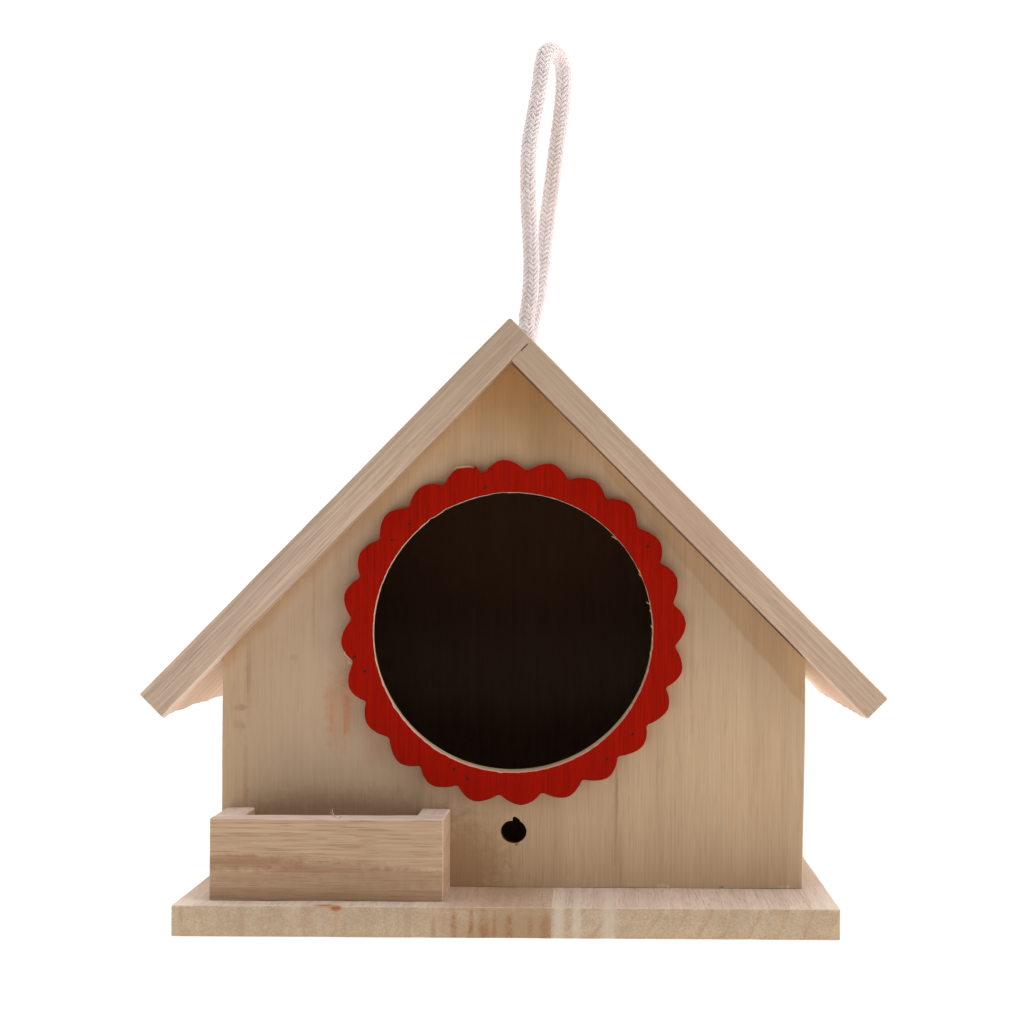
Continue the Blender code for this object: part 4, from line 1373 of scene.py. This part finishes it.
# Painted shade: both roof boards darker towards the ridge.
ridge_shade_marks = (((-0.002, 0, 0.190), (0.085, 1, 0.085), RIDGE_PAINTED_SHADE, 0.50, 0.10),)
MIDDLE_FLUSH = ((0.058, -0.050, 0.132), (0.034, 0.020, 0.034), (0.46, 0.290, 0.215), 0.45, 0.10)
roof_left_wood = wood("roof_left_wood", slope_turn(LEFT), (-0.10, 0.060, 3.0), ROOF_PALE,
                      ROOF_DARK, LINE, ring_width=0.0045, wander=0.007, lines=0.12, band=0.40,
                      streak=0.12, fibre=0.16, pore=0.22, level_light_amount=0.9, under=UNDER_PAINTED_LIGHT,
                      marks=ridge_shade_marks)
roof_right_wood = wood("roof_right_wood", slope_turn(RIGHT), (0.22, -0.050, 4.4), ROOF_TAN,
                       ROOF_DARK, LINE, ring_width=0.0070, wander=0.008, lines=0.06, band=0.30,
                       streak=0.07, fibre=0.14, pore=0.20, level_light_amount=0.9,
                       under=UNDER_PAINTED_LIGHT, marks=ridge_shade_marks + (MIDDLE_FLUSH,))

# %% Base and feeder finishes
BAND_BROWN = (0.33, 0.165, 0.075)
BOTTOM_ORANGE = ((0.0, -0.077, 0.0), (1.0, 0.003, 0.0011), (0.56, 0.31, 0.16), 0.60, 0.10)
base_marks = (
    BOTTOM_ORANGE,
    ((-0.0516, -0.0765, 0.0090), (0.0024, 0.0018, 0.0016), (0.36, 0.10, 0.022), 1.0, 0.15),
    ((-0.0552, -0.076, 0.0094), (0.0048, 0.004, 0.0006), (0.36, 0.14, 0.05), 0.90, 0.10),
    ((-0.0515, 0, 0.0050), (0.0009, 1, 0.0060), (0.46, 0.28, 0.15), 0.35, 0.40),
    ((-0.0800, 0, 0.0050), (0.0020, 1, 0.0120), BAND_BROWN, 0.22, 0.40),
    ((-0.0610, 0, 0.0050), (0.0015, 1, 0.0120), BAND_BROWN, 0.16, 0.40),
    ((-0.0300, 0, 0.0060), (0.0016, 1, 0.0120), BAND_BROWN, 0.32, 0.50),
    ((0.0060, 0, 0.0020), (0.0380, 1, 0.0120), (0.36, 0.235, 0.125), 0.80, 0.10),
    ((-0.0060, 0, 0.0100), (0.0260, 1, 0.0030), (0.36, 0.22, 0.13), 0.50, 0.10),
    # Painted light: a paler strip on the base's top at its left end.
    ((-0.0980, 0, 0.0100), (0.0090, 1, 0.0014), (0.80, 0.70, 0.62), 0.50, 0.10),
)
base_marks += tuple(
    ((x, 0, 0.0025), (half, 1, 0.0080), BAND_BROWN, strength, 0.30)
    for x, half, strength in (
        (-0.0224, 0.0012, 0.40), (-0.0164, 0.0014, 0.80), (-0.0112, 0.0012, 0.80),
        (-0.0075, 0.0024, 0.80), (-0.0042, 0.0010, 0.60), (0.0003, 0.0018, 0.90),
        (0.0066, 0.0012, 0.60), (0.0110, 0.0024, 0.60))
)
right_marks = (
    BOTTOM_ORANGE,
    # Painted light: a paler strip on the base's top at its right end.
    ((0.0980, 0, 0.0100), (0.0100, 1, 0.0014), (0.80, 0.70, 0.62), 0.50, 0.10),
) + tuple(
    ((x, 0, 0.0050), (half, 1, 0.0300), (0.66, 0.57, 0.47), 0.50, 0.20)
    for x, half in ((0.0150, 0.0024), (0.0205, 0.0020), (0.0300, 0.0030))
)
base_left_wood = wood("base_left_wood", FRONT_TO_BACK, (-0.30, 0.005, 5.0), BASE_PALE,
                      BASE_DARK, BASE_LINE, ring_width=0.0060, wander=0.004, lines=0.16,
                      band=0.30, pore=0.45, marks=base_marks, level_light_amount=0.8)
base_right_wood = wood("base_right_wood", FRONT_TO_BACK, (-0.0755, -0.080, 6.0), BASE_PALE,
                       BASE_DARK, BASE_LINE, ring_width=0.0068, wander=0.006, lines=0.34,
                       band=0.30, pore=0.45, marks=right_marks, level_light_amount=0.8)
BAND_DARK = (0.31, 0.165, 0.085)
feeder_marks = (
    ((-0.0800, 0, 0.0210), (0.0240, 1, 0.0036), BAND_DARK, 0.62, 0.35),
    ((-0.0560, 0, 0.0188), (0.0280, 1, 0.0040), BAND_DARK, 0.62, 0.35),
    ((-0.0330, 0, 0.0165), (0.0240, 1, 0.0040), BAND_DARK, 0.62, 0.35),
    ((-0.0750, 0, 0.0165), (0.0240, 1, 0.0024), BAND_DARK, 0.40, 0.35),
    ((-0.0560, 0, 0.0080), (0.0700, 1, 0.0095), (0.34, 0.205, 0.115), 0.62, 0.10),
)
feeder_wood = wood("feeder_wood", SIDE_TO_SIDE, (-0.02, 0.030, 7.0), FEEDER_PALE, FEEDER_DARK,
                   LINE, ring_width=0.0070, wander=0.010, lines=0.10, band=0.3, streak=0.05,
                   fibre=0.15, pore=0.40, marks=feeder_marks, level_light_amount=0.85)
feeder_end_wood = wood("feeder_end_wood", FRONT_TO_BACK, (0.10, 0.040, 8.0), FEEDER_PALE,
                       FEEDER_DARK, LINE, ring_width=0.0070, wander=0.006, lines=0.10, band=0.3,
                       level_light_amount=0.85)
print("wood finishes:", len(bpy.data.materials))

# %% [markdown]
# ## Red stain
#
# The ring is stained, not lacquered, so the wood's upright fibres still show through the red.
# The stain was put on before the entrance was cut: the wall of the opening and its very edge are
# bare. The distance from the ring's middle tells the two apart.

# %% Red stain
RED = (0.375, 0.0072, 0.0011, 1)
RED_DARK = (0.275, 0.0050, 0.0010, 1)
BARE = (0.70, 0.52, 0.39, 1)
CURL_YELLOW = (0.80, 0.62, 0.36, 1)

red_stain, tree, shader = new_material("red_stain")
where = add_node(tree, "TexCoord").outputs["Object"]
wood_at = use_group(tree, grain_group, Point=where, Ring_Width=0.005, Wander=0.004)
red = mix_colours(tree, fade(tree, wood_at["Fibres"], 0.0, 1.0, 0.75, 0.05), RED, RED_DARK)
red = mix_colours(tree, fade(tree, wood_at["Streaks"], 0.0, 1.0, 0.2, 0.0), red, RED_DARK)
red = mix_colours(tree, reckon(tree, "MULTIPLY", wood_at["Pores"], 0.25), red, (0.16, 0.004, 0.003, 1))
spoke = reckon_vector(tree, "SUBTRACT", where, (RING_X, 0, RING_Z))
spoke = reckon_vector(tree, "MULTIPLY", spoke, (1, 0, 1))
radius = reckon_vector(tree, "LENGTH", spoke)
near_bore = fade(tree, radius, ENTRANCE_RADIUS + 0.0014, ENTRANCE_RADIUS + 0.0008)
wobble = speckle(tree, where, 500, 3.0, 0.7).outputs[0]
wobble = reckon(tree, "MULTIPLY", reckon(tree, "SUBTRACT", wobble, 0.5), 0.0006)
radius = reckon(tree, "ADD", radius, wobble)
painted = fade(tree, radius, ENTRANCE_RADIUS - 0.00005, ENTRANCE_RADIUS + 0.00014)
finish = mix_colours(tree, painted, BARE, red)
turned = add_node(tree, "SeparateXYZ")
feed(tree, turned.inputs[0], add_node(tree, "TexCoord").outputs["Normal"])
bore_wall = fade(tree, reckon(tree, "ABSOLUTE", turned.outputs["Y"]), 0.5, 0.3)
finish = mix_colours(tree, reckon(tree, "MULTIPLY", bore_wall, near_bore), finish, BARE)
bare_fibre = add_node(tree, "Attribute", attribute_name="bare").outputs["Fac"]
finish = mix_colours(tree, bare_fibre, finish, CURL_YELLOW)
feed(tree, shader.inputs["Base Color"], finish)
shader.inputs["Specular IOR Level"].default_value = 0.035
feed(tree, shader.inputs["Roughness"], fade(tree, wood_at["Fibres"], 0.0, 1.0, 0.55, 0.75))
relief = add_node(tree, "Bump")
relief.inputs["Strength"].default_value = 0.5
relief.inputs["Distance"].default_value = 0.00008
feed(tree, relief.inputs["Height"], reckon(tree, "SUBTRACT", wood_at["Fibres"], wood_at["Pores"]))
feed(tree, shader.inputs["Normal"], relief.outputs[0])
ring.data.materials.append(red_stain)

# %% [markdown]
# ## Brads
#
# Brads are headless-looking steel pins, driven just under the surface. In the red ring only a
# dark dot shows. One pin is modelled, with a domed head and a point, and copied to each place,
# and every copy has its own mesh. The pins in the roof and the base keep the frame's own shapes.

# %% Steel finish
steel, tree, shader = new_material("dull_steel")
where = add_node(tree, "TexCoord").outputs["Object"]
dull = speckle(tree, where, 2400, 3.0, 0.7).outputs[0]
feed(tree, shader.inputs["Base Color"],
     mix_colours(tree, fade(tree, dull, 0.35, 0.65), (0.008, 0.006, 0.005, 1), (0.030, 0.022, 0.018, 1)))
shader.inputs["Metallic"].default_value = 0.3
shader.inputs["Specular IOR Level"].default_value = 0.2
feed(tree, shader.inputs["Roughness"], fade(tree, dull, 0.3, 0.7, 0.4, 0.7))
brad_nodes = [name for name in sorted(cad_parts) if "_brad_" in name]
print("brads:", len(brad_nodes))

# %% Ring brads
PIN_HEAD = 0.00048
PIN_PROUD = 0.00010


def first_pin():
    """One pin at the origin, its head towards -Y."""
    pin = rod("pin", (0, 0.004, 0), 0.00035, 0.008, 12)
    pick_edges(pin, lambda edge: all(v.co.y < 0.0001 for v in edge.verts))
    bpy.ops.transform.resize(value=(PIN_HEAD / 0.00035, 1, PIN_HEAD / 0.00035),
                             center_override=(0, 0, 0))
    bpy.ops.mesh.bevel(offset=0.00012, segments=2, affect="EDGES")
    bpy.ops.object.mode_set(mode="OBJECT")
    pick_edges(pin, lambda edge: all(v.co.y > 0.0079 for v in edge.verts))
    bpy.ops.transform.resize(value=(0.1, 1, 0.1), center_override=(0, 0.008, 0))
    bpy.ops.object.mode_set(mode="OBJECT")
    return pin


pin = first_pin()
for name in (n for n in brad_nodes if n.startswith("ring_brad")):
    low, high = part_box(name)
    copy = pin.copy()
    copy.data = pin.data.copy()
    bpy.context.scene.collection.objects.link(copy)
    copy.name = copy.data.name = name.replace("ring_brad", "ring_pin")
    middle = (low + high) / 2
    copy.data.transform(Matrix.Translation((middle.x, ring_low.y - PIN_PROUD, middle.z)))
    copy.data.materials.append(steel)
    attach(copy, "root")
    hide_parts(name)
bpy.data.objects.remove(pin)
for name in brad_nodes:
    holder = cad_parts[name]
    holder.data.materials.clear()
    holder.data.materials.append(steel)

# %% Put the boards together
finished = (
    (base_left, base_left_wood, "base_left_plank", "base_wood"),
    (base_right, base_right_wood, "base_right_plank", "base_wood"),
    (front_panel, front_wood, "front_panel", "panel_wood"),
    (back_panel, back_wood, "back_panel", "panel_wood"),
    (left_wall, wall_wood, "left_wall", "panel_wood"),
    (right_wall, wall_wood, "right_wall", "panel_wood"),
    (roof_left, roof_left_wood, "roof_left", "roof_wood"),
    (roof_right, roof_right_wood, "roof_right", "roof_wood"),
    (feeder_front, feeder_wood, "feeder_front", "feeder_wood"),
    (feeder_left, feeder_end_wood, "feeder_left_end", "feeder_wood"),
    (feeder_right, feeder_end_wood, "feeder_right_end", "feeder_wood"),
    (ring, red_stain, "entrance_ring", "red_stain"),
)
for piece, material, node, slot in finished:
    piece.data.materials.clear()
    piece.data.materials.append(material)
    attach(piece, "root")
    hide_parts(node)
print("boards:", len(finished))
